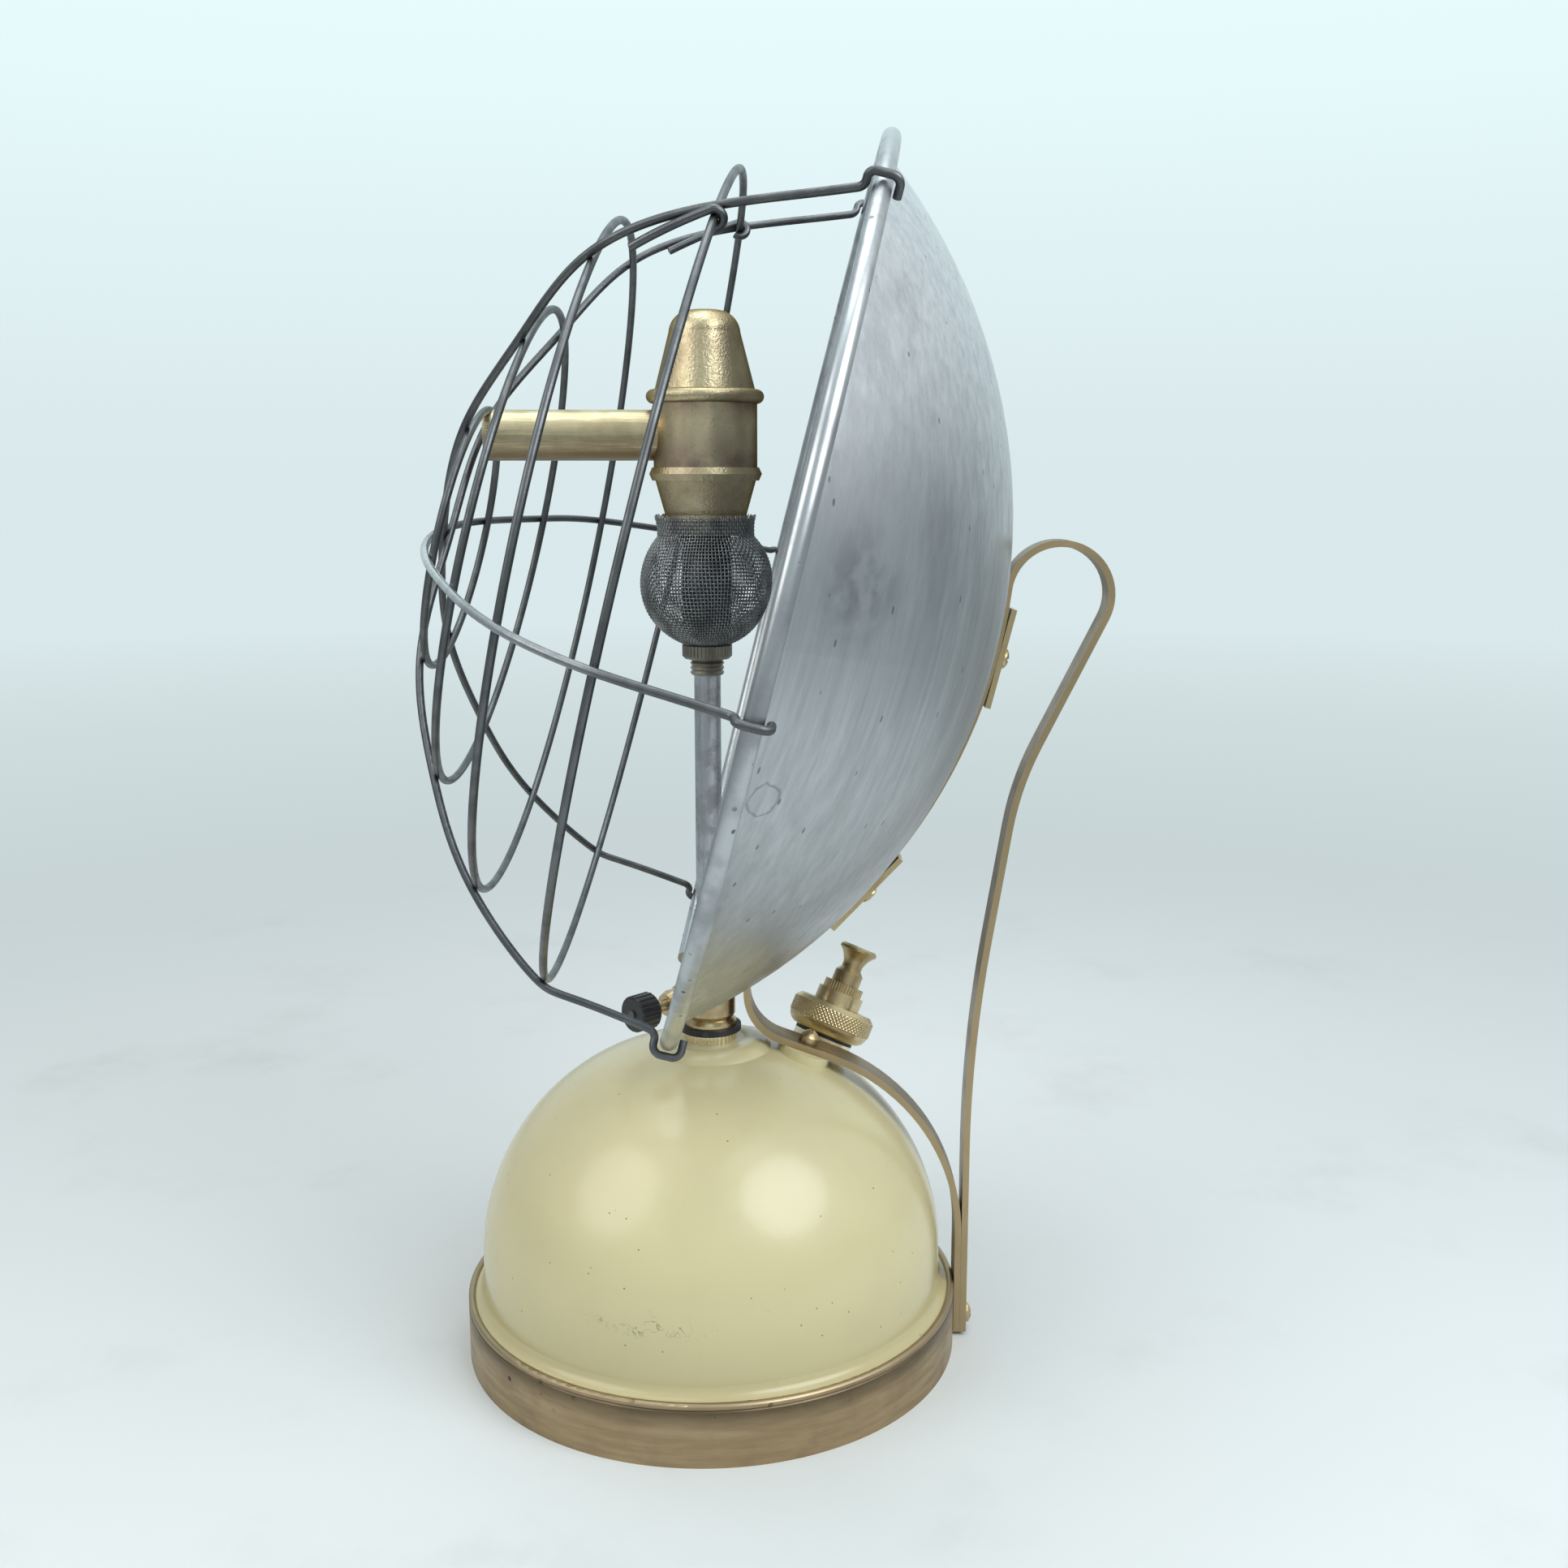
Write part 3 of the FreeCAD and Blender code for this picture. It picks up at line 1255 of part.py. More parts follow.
def hoop_frame(index):
    """A hoop's frame: its middle on the guard's axis and its normal along local Z."""
    angle = math.radians(plain(getattr(s, f"hoop_{index}_angle")))
    middle = sphere_centre + facing * (hoop_reach[index].number * math.cos(angle))
    return axis_frame(middle, hoop_normals[index])


def weld_point(spoke, index):
    """Where a bow's middle line passes a hoop, along a spoke."""
    angle = math.radians(plain(getattr(s, f"hoop_{index}_angle")))
    normal = hoop_normals[index]
    across = spoke - facing * (spoke.dot(normal) / facing.dot(normal))
    on_hoop = hoop_frame(index).Base + across.normalize() * (hoop_reach[index].number * math.sin(angle))
    outward = (on_hoop - sphere_centre).normalize()
    return on_hoop + outward * (bow_radius - hoop_sphere.number)


def hook_point(spoke):
    """Where a bow turns straight towards the rim."""
    return guard_point(spoke, bead_reach(spoke) + s.hook_step.number,
                       s.guard_behind.number + s.hook_start.number)


def bow_edges(one, lift):
    """A whole bow: hook, curve over the hoops and crown, and the other hook."""
    other = one * -1
    points = [hook_point(one)]
    points += [weld_point(one, index) for index in (1, 2, 3, 4)]
    points.append(guard_point(one, 0, bow_radius - s.crown_flat.number + lift))
    points += [weld_point(other, index) for index in (4, 3, 2, 1)]
    points.append(hook_point(other))
    leaving = (points[1] - points[0]).normalize()
    arriving = (points[-1] - points[-2]).normalize()
    curve = Part.BSplineCurve()
    curve.interpolate(Points=points, InitialTangent=leaving, FinalTangent=arriving)
    return reversed_edges(hook_edges(one, leaving * -1)) + [curve.toShape()] + hook_edges(other, arriving)


def hook_edges(spoke, way):
    """The end of a bow: a turn out in front of the bead, a bend over it and a short tail behind it."""
    shell = s.bead_radius.number + s.hook_clearance.number + wire
    start = hook_point(spoke)
    corner = start + way * ((s.hook_start.number - shell) / -way.dot(facing))
    climb = bead_reach(spoke) + shell - (corner - sphere_centre).dot(spoke)
    top = corner + spoke * climb
    back = top - facing * (shell * 2)
    return bent_edges([start, corner, top, back, back - spoke * s.hook_tail.number])


def bead_reach(spoke):
    """Distance of the bead's middle from the guard's axis along a spoke."""
    drop = s.guard_drop.number
    along = rim_up.dot(spoke) * -drop
    away = math.sqrt(max(drop * drop - along * along, 0.0))
    return math.sqrt(s.rim_radius.number ** 2 - away ** 2) - along


def bent_edges(points):
    """Straight runs joined by tangent arcs, each as large as its runs allow up to the hook's bend."""
    radii = []
    for before, corner, after in zip(points, points[1:], points[2:]):
        half = (corner - before).getAngle(after - corner) / 2
        room = 0.45 * min((corner - before).Length, (after - corner).Length)
        radii.append(min(s.hook_bend_radius.number, room / math.tan(half)))
    return bent(points, radii)


def wire_along(edges):
    path = Part.Wire(edges)
    start = path.OrderedEdges[0]
    first = start.valueAt(start.FirstParameter)
    way = start.tangentAt(start.FirstParameter)
    profile = Part.Wire(Part.Circle(first, way, wire).toShape())
    pipe = path.makePipeShell([profile], True, False)
    check_section(pipe, math.pi * wire * wire * path.Length)
    return pipe


def spoke_at(angle):
    """A unit vector across the guard: angle from upright, towards +X."""
    turned = math.radians(plain(angle))
    return Vector(math.sin(turned), 0, 0) + rim_up * math.cos(turned)


def reversed_edges(edges):
    flipped = []
    for edge in reversed(edges):
        last = edge.LastParameter
        first = edge.FirstParameter
        ends = (edge.valueAt(last), edge.valueAt((first + last) / 2), edge.valueAt(first))
        if isinstance(edge.Curve, Part.Line):
            flipped.append(Part.LineSegment(ends[0], ends[2]).toShape())
        else:
            flipped.append(Part.Arc(*ends).toShape())
    return flipped


bow_angles = {"guard_bow_b": s.bow_b_angle, "guard_bow_a": s.bow_a_angle, "guard_side_bow": s.side_bow_angle}
for layer, (label, angle) in enumerate(bow_angles.items()):
    keep(solid(label, wire_along(bow_edges(spoke_at(angle), layer * s.crown_step.number))))

for index in range(1, 5):
    hoop = doc.addObject("Part::Torus", f"guard_hoop_{index}")
    hoop.Label = f"guard_hoop_{index}"
    hoop.setExpression("Radius1", f"{hoop_reach[index].text} * sin(Sizes.hoop_{index}_angle * 1 deg)")
    bind(hoop, "Radius2", s.guard_wire / 2)
    hoop.Placement = hoop_frame(index)
    keep(hoop)

# Ties: the ends of the upper bows, laid beside them and curled round the rear hoop.
ties = []
hoop_angle = math.radians(s.hoop_1_angle.number)
tie_gap = s.guard_wire.number + s.seat_clearance.number
tie_radius = hoop_sphere.number + tie_gap
curl = math.radians(s.tie_curl.number)
for index, angle in enumerate((s.bow_a_angle, s.bow_b_angle), start=1):
    spoke = spoke_at(angle)
    beside = spoke.cross(facing) * tie_gap

    def tie_point(turned, reach):
        return guard_point(spoke, reach * math.sin(turned), reach * math.cos(turned)) + beside

    start_angle = hoop_angle - math.radians(s.tie_run.number)
    outward = spoke * math.sin(hoop_angle) + facing * math.cos(hoop_angle)
    rearward = spoke * math.cos(hoop_angle) - facing * math.sin(hoop_angle)
    hoop_middle = tie_point(hoop_angle, hoop_sphere.number)

    def curl_point(turned):
        return hoop_middle + outward * (tie_gap * math.cos(turned)) + rearward * (tie_gap * math.sin(turned))

    run = Part.Arc(tie_point(start_angle, tie_radius),
                   tie_point((start_angle + hoop_angle) / 2, tie_radius), curl_point(0))
    eye = Part.Arc(curl_point(0), curl_point(curl / 2), curl_point(curl))
    ties.append(solid(f"tie_{index}", wire_along([run.toShape(), eye.toShape()])))
group("guard_ties", ties)

doc.recompute()
for thing in doc.Objects:
    if "Invalid" in thing.State or "Error" in thing.State:
        raise RuntimeError(f"{thing.Name} failed: {thing.State}")
os.makedirs("parts", exist_ok=True)
for node in nodes:
    if node.Shape.isNull() or not node.Shape.isValid() or not node.Shape.Solids:
        raise RuntimeError(f"{node.Label} has no valid solid")
for node in nodes:
    node.Shape.exportStep(f"parts/{node.Label}.step")
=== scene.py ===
import json
import math
import random

import bpy
from mathutils import Matrix, Vector


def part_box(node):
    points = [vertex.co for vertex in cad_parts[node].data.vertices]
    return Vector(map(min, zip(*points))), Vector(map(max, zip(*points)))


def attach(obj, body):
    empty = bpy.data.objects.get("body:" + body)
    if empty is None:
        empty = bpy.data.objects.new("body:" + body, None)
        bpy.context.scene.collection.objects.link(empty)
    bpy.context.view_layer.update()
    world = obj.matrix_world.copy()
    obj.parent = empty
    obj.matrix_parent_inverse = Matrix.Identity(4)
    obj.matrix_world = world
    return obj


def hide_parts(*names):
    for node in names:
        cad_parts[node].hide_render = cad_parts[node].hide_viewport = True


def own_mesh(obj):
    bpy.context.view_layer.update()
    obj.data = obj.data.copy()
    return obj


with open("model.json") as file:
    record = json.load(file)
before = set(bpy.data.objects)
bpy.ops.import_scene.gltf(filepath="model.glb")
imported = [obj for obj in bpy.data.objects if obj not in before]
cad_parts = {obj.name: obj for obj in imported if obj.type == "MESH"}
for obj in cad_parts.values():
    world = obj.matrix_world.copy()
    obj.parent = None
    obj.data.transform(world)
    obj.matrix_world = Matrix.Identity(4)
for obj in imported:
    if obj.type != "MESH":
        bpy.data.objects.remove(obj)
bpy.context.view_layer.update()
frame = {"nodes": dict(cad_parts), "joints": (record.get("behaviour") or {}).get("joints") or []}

# Tank dome: a bowl of thin steel sheet pressed in one draw, with a flared neck on top.
# It is dipped and stove-enamelled in glossy cream, which has sagged into a faint orange peel.
# Years of handling left pinholes and one patch of fine scratches low on the side, and the cream is darker
# towards the bottom of the skirt.


def shader_node(tree, kind, sockets=None, **settings):
    """Adds a node, sets its options and sockets, and links a socket that is given another node's output."""
    made = tree.nodes.new("ShaderNode" + kind)
    for setting, value in settings.items():
        setattr(made, setting, value)
    for socket, value in (sockets or {}).items():
        if isinstance(value, bpy.types.NodeSocket):
            tree.links.new(value, made.inputs[socket])
        else:
            made.inputs[socket].default_value = value
    return made


def effect(name, inputs, outputs):
    """An empty node group with named sockets: floats, or colours and vectors where the kind is given."""
    tree = bpy.data.node_groups.new(name, "ShaderNodeTree")
    for socket, (kind, value) in inputs.items():
        made = tree.interface.new_socket(socket, in_out="INPUT", socket_type="NodeSocket" + kind)
        if value is not None:
            made.default_value = value
    for socket, kind in outputs.items():
        tree.interface.new_socket(socket, in_out="OUTPUT", socket_type="NodeSocket" + kind)
    return tree, tree.nodes.new("NodeGroupInput").outputs, tree.nodes.new("NodeGroupOutput").inputs


def placed(tree, group, sockets):
    """Puts an effect into a material with its own values."""
    made = shader_node(tree, "Group", node_tree=group)
    for socket, value in sockets.items():
        if isinstance(value, bpy.types.NodeSocket):
            tree.links.new(value, made.inputs[socket])
        else:
            made.inputs[socket].default_value = value
    return made.outputs


def new_finish(name, roughness=None, metallic=None):
    """A material with its Principled shader and the piece's own coordinates in metres."""
    material = bpy.data.materials.new(name)
    material.use_nodes = True
    tree = material.node_tree
    shader = tree.nodes["Principled BSDF"]
    if roughness is not None:
        shader.inputs["Roughness"].default_value = roughness
    if metallic is not None:
        shader.inputs["Metallic"].default_value = metallic
    return material, tree, shader, shader_node(tree, "TexCoord").outputs["Object"]


def dress(material, *nodes):
    """Gives CAD nodes their finish."""
    for name in nodes:
        mesh = frame["nodes"][name].data
        mesh.materials.clear()
        mesh.materials.append(material)


def mixed(tree, share, first, second):
    """The first colour going over to the second by a share from 0 to 1."""
    made = shader_node(tree, "Mix", data_type="RGBA")
    for socket, value in ((made.inputs["Factor"], share), (made.inputs[6], first), (made.inputs[7], second)):
        if isinstance(value, bpy.types.NodeSocket):
            tree.links.new(value, socket)
        else:
            socket.default_value = value
    return made.outputs[2]


def ranged(tree, value, low, high, to_low, to_high):
    """Spreads a value from low..high over to_low..to_high, held at the ends."""
    return shader_node(tree, "MapRange", {
        "Value": value, "From Min": low, "From Max": high, "To Min": to_low, "To Max": to_high,
    }).outputs["Result"]


def calc(tree, operation, first, second):
    """One sum on two values."""
    return shader_node(tree, "Math", {0: first, 1: second}, operation=operation).outputs[0]


def bumped(tree, shader, height, distance, strength):
    """Roughens a shader's surface by a height."""
    bump = shader_node(tree, "Bump", {"Height": height, "Distance": distance, "Strength": strength})
    tree.links.new(bump.outputs["Normal"], shader.inputs["Normal"])


patches, at, out = effect("patches", {
    "Vector": ("Vector", None), "Scale": ("Float", 30.0), "Detail": ("Float", 4.0),
    "Bare": ("Float", 0.45), "Full": ("Float", 0.65)}, {"Mask": "Float"})
cloud = shader_node(patches, "TexNoise", {
    "Vector": at["Vector"], "Scale": at["Scale"], "Detail": at["Detail"], "Roughness": 0.6})
spread = shader_node(patches, "MapRange", {"Value": cloud.outputs["Fac"], "From Min": at["Bare"],
                                           "From Max": at["Full"]}, interpolation_type="SMOOTHSTEP")
patches.links.new(spread.outputs["Result"], out["Mask"])

pits, at, out = effect("pits", {
    "Vector": ("Vector", None), "Scale": ("Float", 300.0), "Size": ("Float", 0.2),
    "Share": ("Float", 0.1)}, {"Mask": "Float"})
cells = shader_node(pits, "TexVoronoi", {"Vector": at["Vector"], "Scale": at["Scale"]})
chance = shader_node(pits, "SeparateColor", {"Color": cells.outputs["Color"]})
near = calc(pits, "LESS_THAN", cells.outputs["Distance"], at["Size"])
picked = calc(pits, "LESS_THAN", chance.outputs["Red"], at["Share"])
pits.links.new(calc(pits, "MULTIPLY", near, picked), out["Mask"])

hairlines, at, out = effect("hairlines", {
    "Vector": ("Vector", None), "Scale": ("Float", 40.0), "Width": ("Float", 0.004),
    "Share": ("Float", 0.6)}, {"Mask": "Float"})
swirl = shader_node(hairlines, "TexNoise", {
    "Vector": at["Vector"], "Scale": at["Scale"], "Detail": 2.0, "Distortion": 1.2})
mean_noise = 0.5
off_ridge = calc(hairlines, "SUBTRACT", swirl.outputs["Fac"], mean_noise)
ridge = shader_node(hairlines, "Math", {0: off_ridge}, operation="ABSOLUTE").outputs[0]
thin = calc(hairlines, "LESS_THAN", ridge, at["Width"])
where = shader_node(hairlines, "TexNoise", {"Vector": at["Vector"], "Scale": 55.0, "Detail": 1.0})
kept = calc(hairlines, "GREATER_THAN", where.outputs["Fac"], at["Share"])
hairlines.links.new(calc(hairlines, "MULTIPLY", thin, kept), out["Mask"])

enamel, tree, shader, place = new_finish("cream_enamel")
glaze = {"IOR": 1.52, "Coat Weight": 0.15, "Coat Roughness": 0.17}
for socket, value in glaze.items():
    shader.inputs[socket].default_value = value
skirt_low, skirt_high = 0.02, 0.075
height = shader_node(tree, "SeparateXYZ", {"Vector": place}).outputs["Z"]
skirt = ranged(tree, height, skirt_low, skirt_high, 1.0, 0.0)
cloudy = placed(tree, patches, {"Vector": place, "Scale": 16.0, "Bare": 0.3, "Full": 0.75})["Mask"]
cream = mixed(tree, cloudy, (0.665, 0.605, 0.35, 1), (0.61, 0.55, 0.315, 1))
cream = mixed(tree, calc(tree, "MULTIPLY", skirt, 0.6), cream, (0.50, 0.44, 0.225, 1))
pinholes = placed(tree, pits, {"Vector": place, "Scale": 330.0, "Size": 0.10, "Share": 0.10})["Mask"]
scratched = placed(tree, hairlines, {"Vector": place, "Scale": 190.0, "Width": 0.016, "Share": 0.36})["Mask"]
rub_centre = (0.084, -0.0185, 0.0467)
rub_narrowing = (20.0, 42.0, 200.0)
off_rub = shader_node(tree, "VectorMath", {0: place, 1: rub_centre}, operation="SUBTRACT").outputs[0]
off_rub = shader_node(tree, "VectorMath", {0: off_rub, 1: rub_narrowing}, operation="MULTIPLY").outputs[0]
rub_reach = shader_node(tree, "VectorMath", {0: off_rub}, operation="LENGTH").outputs["Value"]
scratched = calc(tree, "MULTIPLY", scratched, ranged(tree, rub_reach, 0.5, 1.1, 0.6, 0.0))
chipped = calc(tree, "MAXIMUM", pinholes, scratched)
bare_steel = (0.12, 0.10, 0.06, 1)
cream = mixed(tree, calc(tree, "MULTIPLY", chipped, 0.9), cream, bare_steel)
tree.links.new(cream, shader.inputs["Base Color"])
tree.links.new(ranged(tree, chipped, 0.0, 1.0, 0.23, 0.5), shader.inputs["Roughness"])
peel = shader_node(tree, "TexNoise", {"Vector": place, "Scale": 420.0, "Detail": 1.0}).outputs["Fac"]
bumped(tree, shader, calc(tree, "SUBTRACT", peel, chipped), distance=0.00004, strength=0.55)
dress(enamel, "tank_dome", "strap_boss")

# Base ring: a hoop of rolled brass strip pressed over the dome's skirt, with a bead rolled along its top.
# The brass has gone brown with scattered black spots; a dark band under the bead is a painted shadow, and a
# paler line along the bead's crest is a painted highlight.
# The tank's tinned steel floor is soldered inside it, out of sight.
ring_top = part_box("base_ring")[1].z
# Heights of the painted shadow band under the bead.
bead_shadow_foot, bead_shadow_full = ring_top - 0.0100, ring_top - 0.0034
bead_shadow_fading, bead_shadow_end = ring_top - 0.0024, ring_top - 0.0014
bead_foot, bead_crest = ring_top - 0.0016, ring_top - 0.0006
ring_brass, tree, shader, place = new_finish("aged_brass_ring", metallic=1.0)
height = shader_node(tree, "SeparateXYZ", {"Vector": place}).outputs["Z"]
rolled = shader_node(tree, "Mapping", {"Vector": place, "Scale": (18.0, 18.0, 160.0)}).outputs["Vector"]
streaks = placed(tree, patches, {
    "Vector": rolled, "Scale": 2.2, "Detail": 6.0, "Bare": 0.3, "Full": 0.72})["Mask"]
blotches = placed(tree, patches, {
    "Vector": place, "Scale": 48.0, "Detail": 6.0, "Bare": 0.46, "Full": 0.7})["Mask"]
brown = mixed(tree, streaks, (0.44, 0.33, 0.20, 1), (0.355, 0.255, 0.15, 1))
brown = mixed(tree, calc(tree, "MULTIPLY", blotches, 0.45), brown, (0.23, 0.165, 0.105, 1))
# Painted shadow: a dark band just under the bead.
bead_shadow_mask = calc(tree, "MULTIPLY", ranged(tree, height, bead_shadow_foot, bead_shadow_full, 0.0, 1.0),
                  ranged(tree, height, bead_shadow_fading, bead_shadow_end, 1.0, 0.0))
bead_shadow_colour = (0.06, 0.045, 0.03, 1)
brown = mixed(tree, calc(tree, "MULTIPLY", bead_shadow_mask, 0.7), brown, bead_shadow_colour)
# Painted highlight: a paler line along the bead's crest.
bead_highlight = ranged(tree, height, bead_foot, bead_crest, 0.0, 0.5)
brown = mixed(tree, bead_highlight, brown, (0.36, 0.29, 0.19, 1))
spots = placed(tree, pits, {"Vector": place, "Scale": 260.0, "Size": 0.26, "Share": 0.16})["Mask"]
damp = placed(tree, patches, {"Vector": place, "Scale": 24.0, "Bare": 0.55, "Full": 0.62})["Mask"]
spots = calc(tree, "MULTIPLY", spots, damp)
brown = mixed(tree, spots, brown, (0.035, 0.03, 0.025, 1))
tree.links.new(brown, shader.inputs["Base Color"])
uneven = calc(tree, "ADD", streaks, spots)
tree.links.new(ranged(tree, uneven, 0.0, 1.2, 0.36, 0.52), shader.inputs["Roughness"])
bumped(tree, shader, calc(tree, "SUBTRACT", streaks, spots), distance=0.00004, strength=0.5)
dress(ring_brass, "base_ring")

floor_steel, tree, shader, place = new_finish("tank_floor_steel", roughness=0.55, metallic=1.0)
tinned = placed(tree, patches, {"Vector": place, "Scale": 60.0, "Bare": 0.35, "Full": 0.7})["Mask"]
tin = mixed(tree, tinned, (0.42, 0.42, 0.41, 1), (0.25, 0.23, 0.21, 1))
tree.links.new(tin, shader.inputs["Base Color"])
dress(floor_steel, "tank_floor")

# Machined fittings: the filler and neck bushes soldered into the dome, the cock and the nuts screwed onto it.
# All are free-cutting brass off a lathe, lacquer gone, with fine turning rings and small specks of darker
# oil.
# The neck ring, globe nut and pump guide have a straight serrated band for the fingers.
turned, at, out = effect("turning_rings", {
    "Vector": ("Vector", None), "Rings": ("Float", 2600.0)}, {"Height": "Float", "Mask": "Float"})
along = shader_node(turned, "SeparateXYZ", {"Vector": at["Vector"]}).outputs["Z"]
phase = calc(turned, "MULTIPLY", along, at["Rings"])
turned.links.new(shader_node(turned, "Math", {0: phase}, operation="SINE").outputs[0], out["Height"])
tool_chatter = shader_node(turned, "TexNoise", {"W": phase, "Scale": 0.6, "Detail": 3.0},
                           noise_dimensions="1D")
turned.links.new(tool_chatter.outputs["Fac"], out["Mask"])
ring_waves = 9000.0
oil_brown = (0.09, 0.065, 0.035, 1)
tarnish_dulling = 0.16


def turned_brass(name, bright, dark, origin, axis, roughness):
    """Lathe-turned brass with its rings round the given axis."""
    material, tree, shader, place = new_finish(name, metallic=1.0)
    towards = Vector(axis).to_track_quat("Z", "Y").to_matrix().inverted().to_euler()
    moved = shader_node(tree, "VectorMath", {0: place, 1: origin}, operation="SUBTRACT").outputs[0]
    lathe = shader_node(tree, "Mapping", {"Vector": moved, "Rotation": towards}).outputs["Vector"]
    rings = placed(tree, turned, {"Vector": lathe, "Rings": ring_waves})
    tarnish = placed(tree, patches, {
        "Vector": place, "Scale": 95.0, "Detail": 6.0, "Bare": 0.42, "Full": 0.68})["Mask"]
    oily = placed(tree, pits, {"Vector": place, "Scale": 900.0, "Size": 0.22, "Share": 0.06})["Mask"]
    shade = mixed(tree, calc(tree, "MULTIPLY", tarnish, 0.75), bright, dark)
    shade = mixed(tree, ranged(tree, rings["Mask"], 0.35, 0.7, 0.0, 0.22), shade, dark)
    shade = mixed(tree, calc(tree, "MULTIPLY", oily, 0.6), shade, oil_brown)
    tree.links.new(shade, shader.inputs["Base Color"])
    dullness = ranged(tree, tarnish, 0.0, 1.0, roughness, roughness + tarnish_dulling)
    tree.links.new(dullness, shader.inputs["Roughness"])
    bumped(tree, shader, rings["Height"], distance=0.000012, strength=0.5)
    return material


middle = (0, 0, 0)
upright = (0, 0, 1)
neck_brass = turned_brass("neck_brass", (0.92, 0.83, 0.60, 1), (0.74, 0.62, 0.40, 1),
                          middle, upright, roughness=0.26)
dress(neck_brass, "neck_ring", "filler_boss")
heated_brass = turned_brass("heated_brass", (0.33, 0.305, 0.25, 1), (0.20, 0.185, 0.155, 1),
                            middle, upright, roughness=0.34)
dress(heated_brass, "globe_nut", "globe_sleeve", "jet_nipple", "globe_ring")
cock_brass = turned_brass("cock_brass", (0.57, 0.45, 0.26, 1), (0.36, 0.265, 0.15, 1),
                          middle, upright, roughness=0.24)
dress(cock_brass, "control_cock")
turning = next(joint for joint in frame["joints"] if joint["name"] == "control_turn")
gland_brass = turned_brass("gland_brass", (0.52, 0.41, 0.24, 1), (0.33, 0.24, 0.135, 1),
                           turning["pos_m"], turning["axis"], roughness=0.24)
dress(gland_brass, "gland_nut", "control_spindle")

# Seals: the flat black washer under the cock and the pump's gasket are oil-proof rubber, stamped from sheet.
# The gland is packed with graphited yarn, and the plunger's cup is moulded from oiled leather.
# Each is clamped between its neighbours, apart from the valve's rubber pip, which its spring holds up.
rubber, tree, shader, place = new_finish("black_rubber", roughness=0.6)
bloom = placed(tree, patches, {"Vector": place, "Scale": 220.0, "Bare": 0.4, "Full": 0.7})["Mask"]
bloomed = mixed(tree, bloom, (0.014, 0.014, 0.015, 1), (0.045, 0.045, 0.046, 1))
tree.links.new(bloomed, shader.inputs["Base Color"])
bumped(tree, shader, bloom, distance=0.00003, strength=0.4)
dress(rubber, "cock_washer", "pump_gasket", "valve_pip")

yarn, tree, shader, place = new_finish("graphited_yarn", roughness=0.75)
twist = shader_node(tree, "TexWave", {"Vector": place, "Scale": 500.0, "Distortion": 2.0}).outputs["Fac"]
graphite = mixed(tree, twist, (0.03, 0.03, 0.032, 1), (0.11, 0.11, 0.115, 1))
tree.links.new(graphite, shader.inputs["Base Color"])
bumped(tree, shader, twist, distance=0.0001, strength=0.6)
dress(yarn, "gland_packing")

leather, tree, shader, place = new_finish("oiled_leather", roughness=0.55)
grain = shader_node(tree, "TexVoronoi", {"Vector": place, "Scale": 900.0}).outputs["Distance"]
hide = mixed(tree, grain, (0.09, 0.05, 0.025, 1), (0.24, 0.14, 0.07, 1))
tree.links.new(hide, shader.inputs["Base Color"])
bumped(tree, shader, grain, distance=0.0001, strength=0.5)
dress(leather, "pump_cup")

# Pick-up tube and its filter: a drawn brass tube soldered under the cock's spigot, down into the paraffin.
# A thimble of fine brass gauze is pushed over its end to keep grit out of the jet.
pipe_brass = turned_brass("pipe_brass", (0.50, 0.37, 0.19, 1), (0.28, 0.18, 0.09, 1),
                          middle, upright, roughness=0.34)
dress(pipe_brass, "pick_up_tube")
gauze, tree, shader, place = new_finish("brass_gauze", roughness=0.45, metallic=1.0)
mesh_holes = shader_node(tree, "TexBrick", {"Vector": place, "Scale": 900.0, "Mortar Size": 0.12})
mesh_holes = mesh_holes.outputs["Fac"]
gauze_brass = mixed(tree, mesh_holes, (0.06, 0.045, 0.025, 1), (0.46, 0.35, 0.19, 1))
tree.links.new(gauze_brass, shader.inputs["Base Color"])
bumped(tree, shader, mesh_holes, distance=0.0002, strength=0.6)
dress(gauze, "pick_up_filter")

# Control knob: moulded black bakelite with a fluted edge, held on the spindle by a small blackened screw.
# The gloss has dulled, the flutes hold pale dust and the edges are rubbed a little brown. Its face is plain.
bakelite, tree, shader, place = new_finish("black_bakelite")
dusty = placed(tree, patches, {
    "Vector": place, "Scale": 420.0, "Detail": 5.0, "Bare": 0.45, "Full": 0.75})["Mask"]
crest = shader_node(tree, "NewGeometry").outputs["Pointiness"]
black = mixed(tree, calc(tree, "MULTIPLY", dusty, 0.5), (0.012, 0.012, 0.013, 1), (0.07, 0.068, 0.062, 1))
black = mixed(tree, ranged(tree, crest, 0.53, 0.62, 0.0, 0.55), black, (0.12, 0.11, 0.10, 1))
tree.links.new(black, shader.inputs["Base Color"])
tree.links.new(ranged(tree, dusty, 0.0, 1.0, 0.3, 0.58), shader.inputs["Roughness"])
bumped(tree, shader, dusty, distance=0.00003, strength=0.4)
dress(bakelite, "control_knob", "knob_screw")

# Vaporiser: a plain steel tube from the cock up to the jet, with the pricker's rod running inside it.
# Heat has mottled the steel grey, with faint drawing lines along it.
# The pump's rod and the stand's nuts are bright steel of the same kind.
drawn_steel, tree, shader, place = new_finish("vaporiser_steel", metallic=1.0)
drawn = shader_node(tree, "Mapping", {"Vector": place, "Scale": (900.0, 900.0, 25.0)}).outputs["Vector"]
lines = placed(tree, patches, {"Vector": drawn, "Scale": 1.0, "Bare": 0.35, "Full": 0.65})["Mask"]
mottle = placed(tree, patches, {
    "Vector": place, "Scale": 120.0, "Detail": 6.0, "Bare": 0.42, "Full": 0.62})["Mask"]
steel = mixed(tree, calc(tree, "MULTIPLY", lines, 0.5), (0.58, 0.60, 0.63, 1), (0.44, 0.455, 0.475, 1))
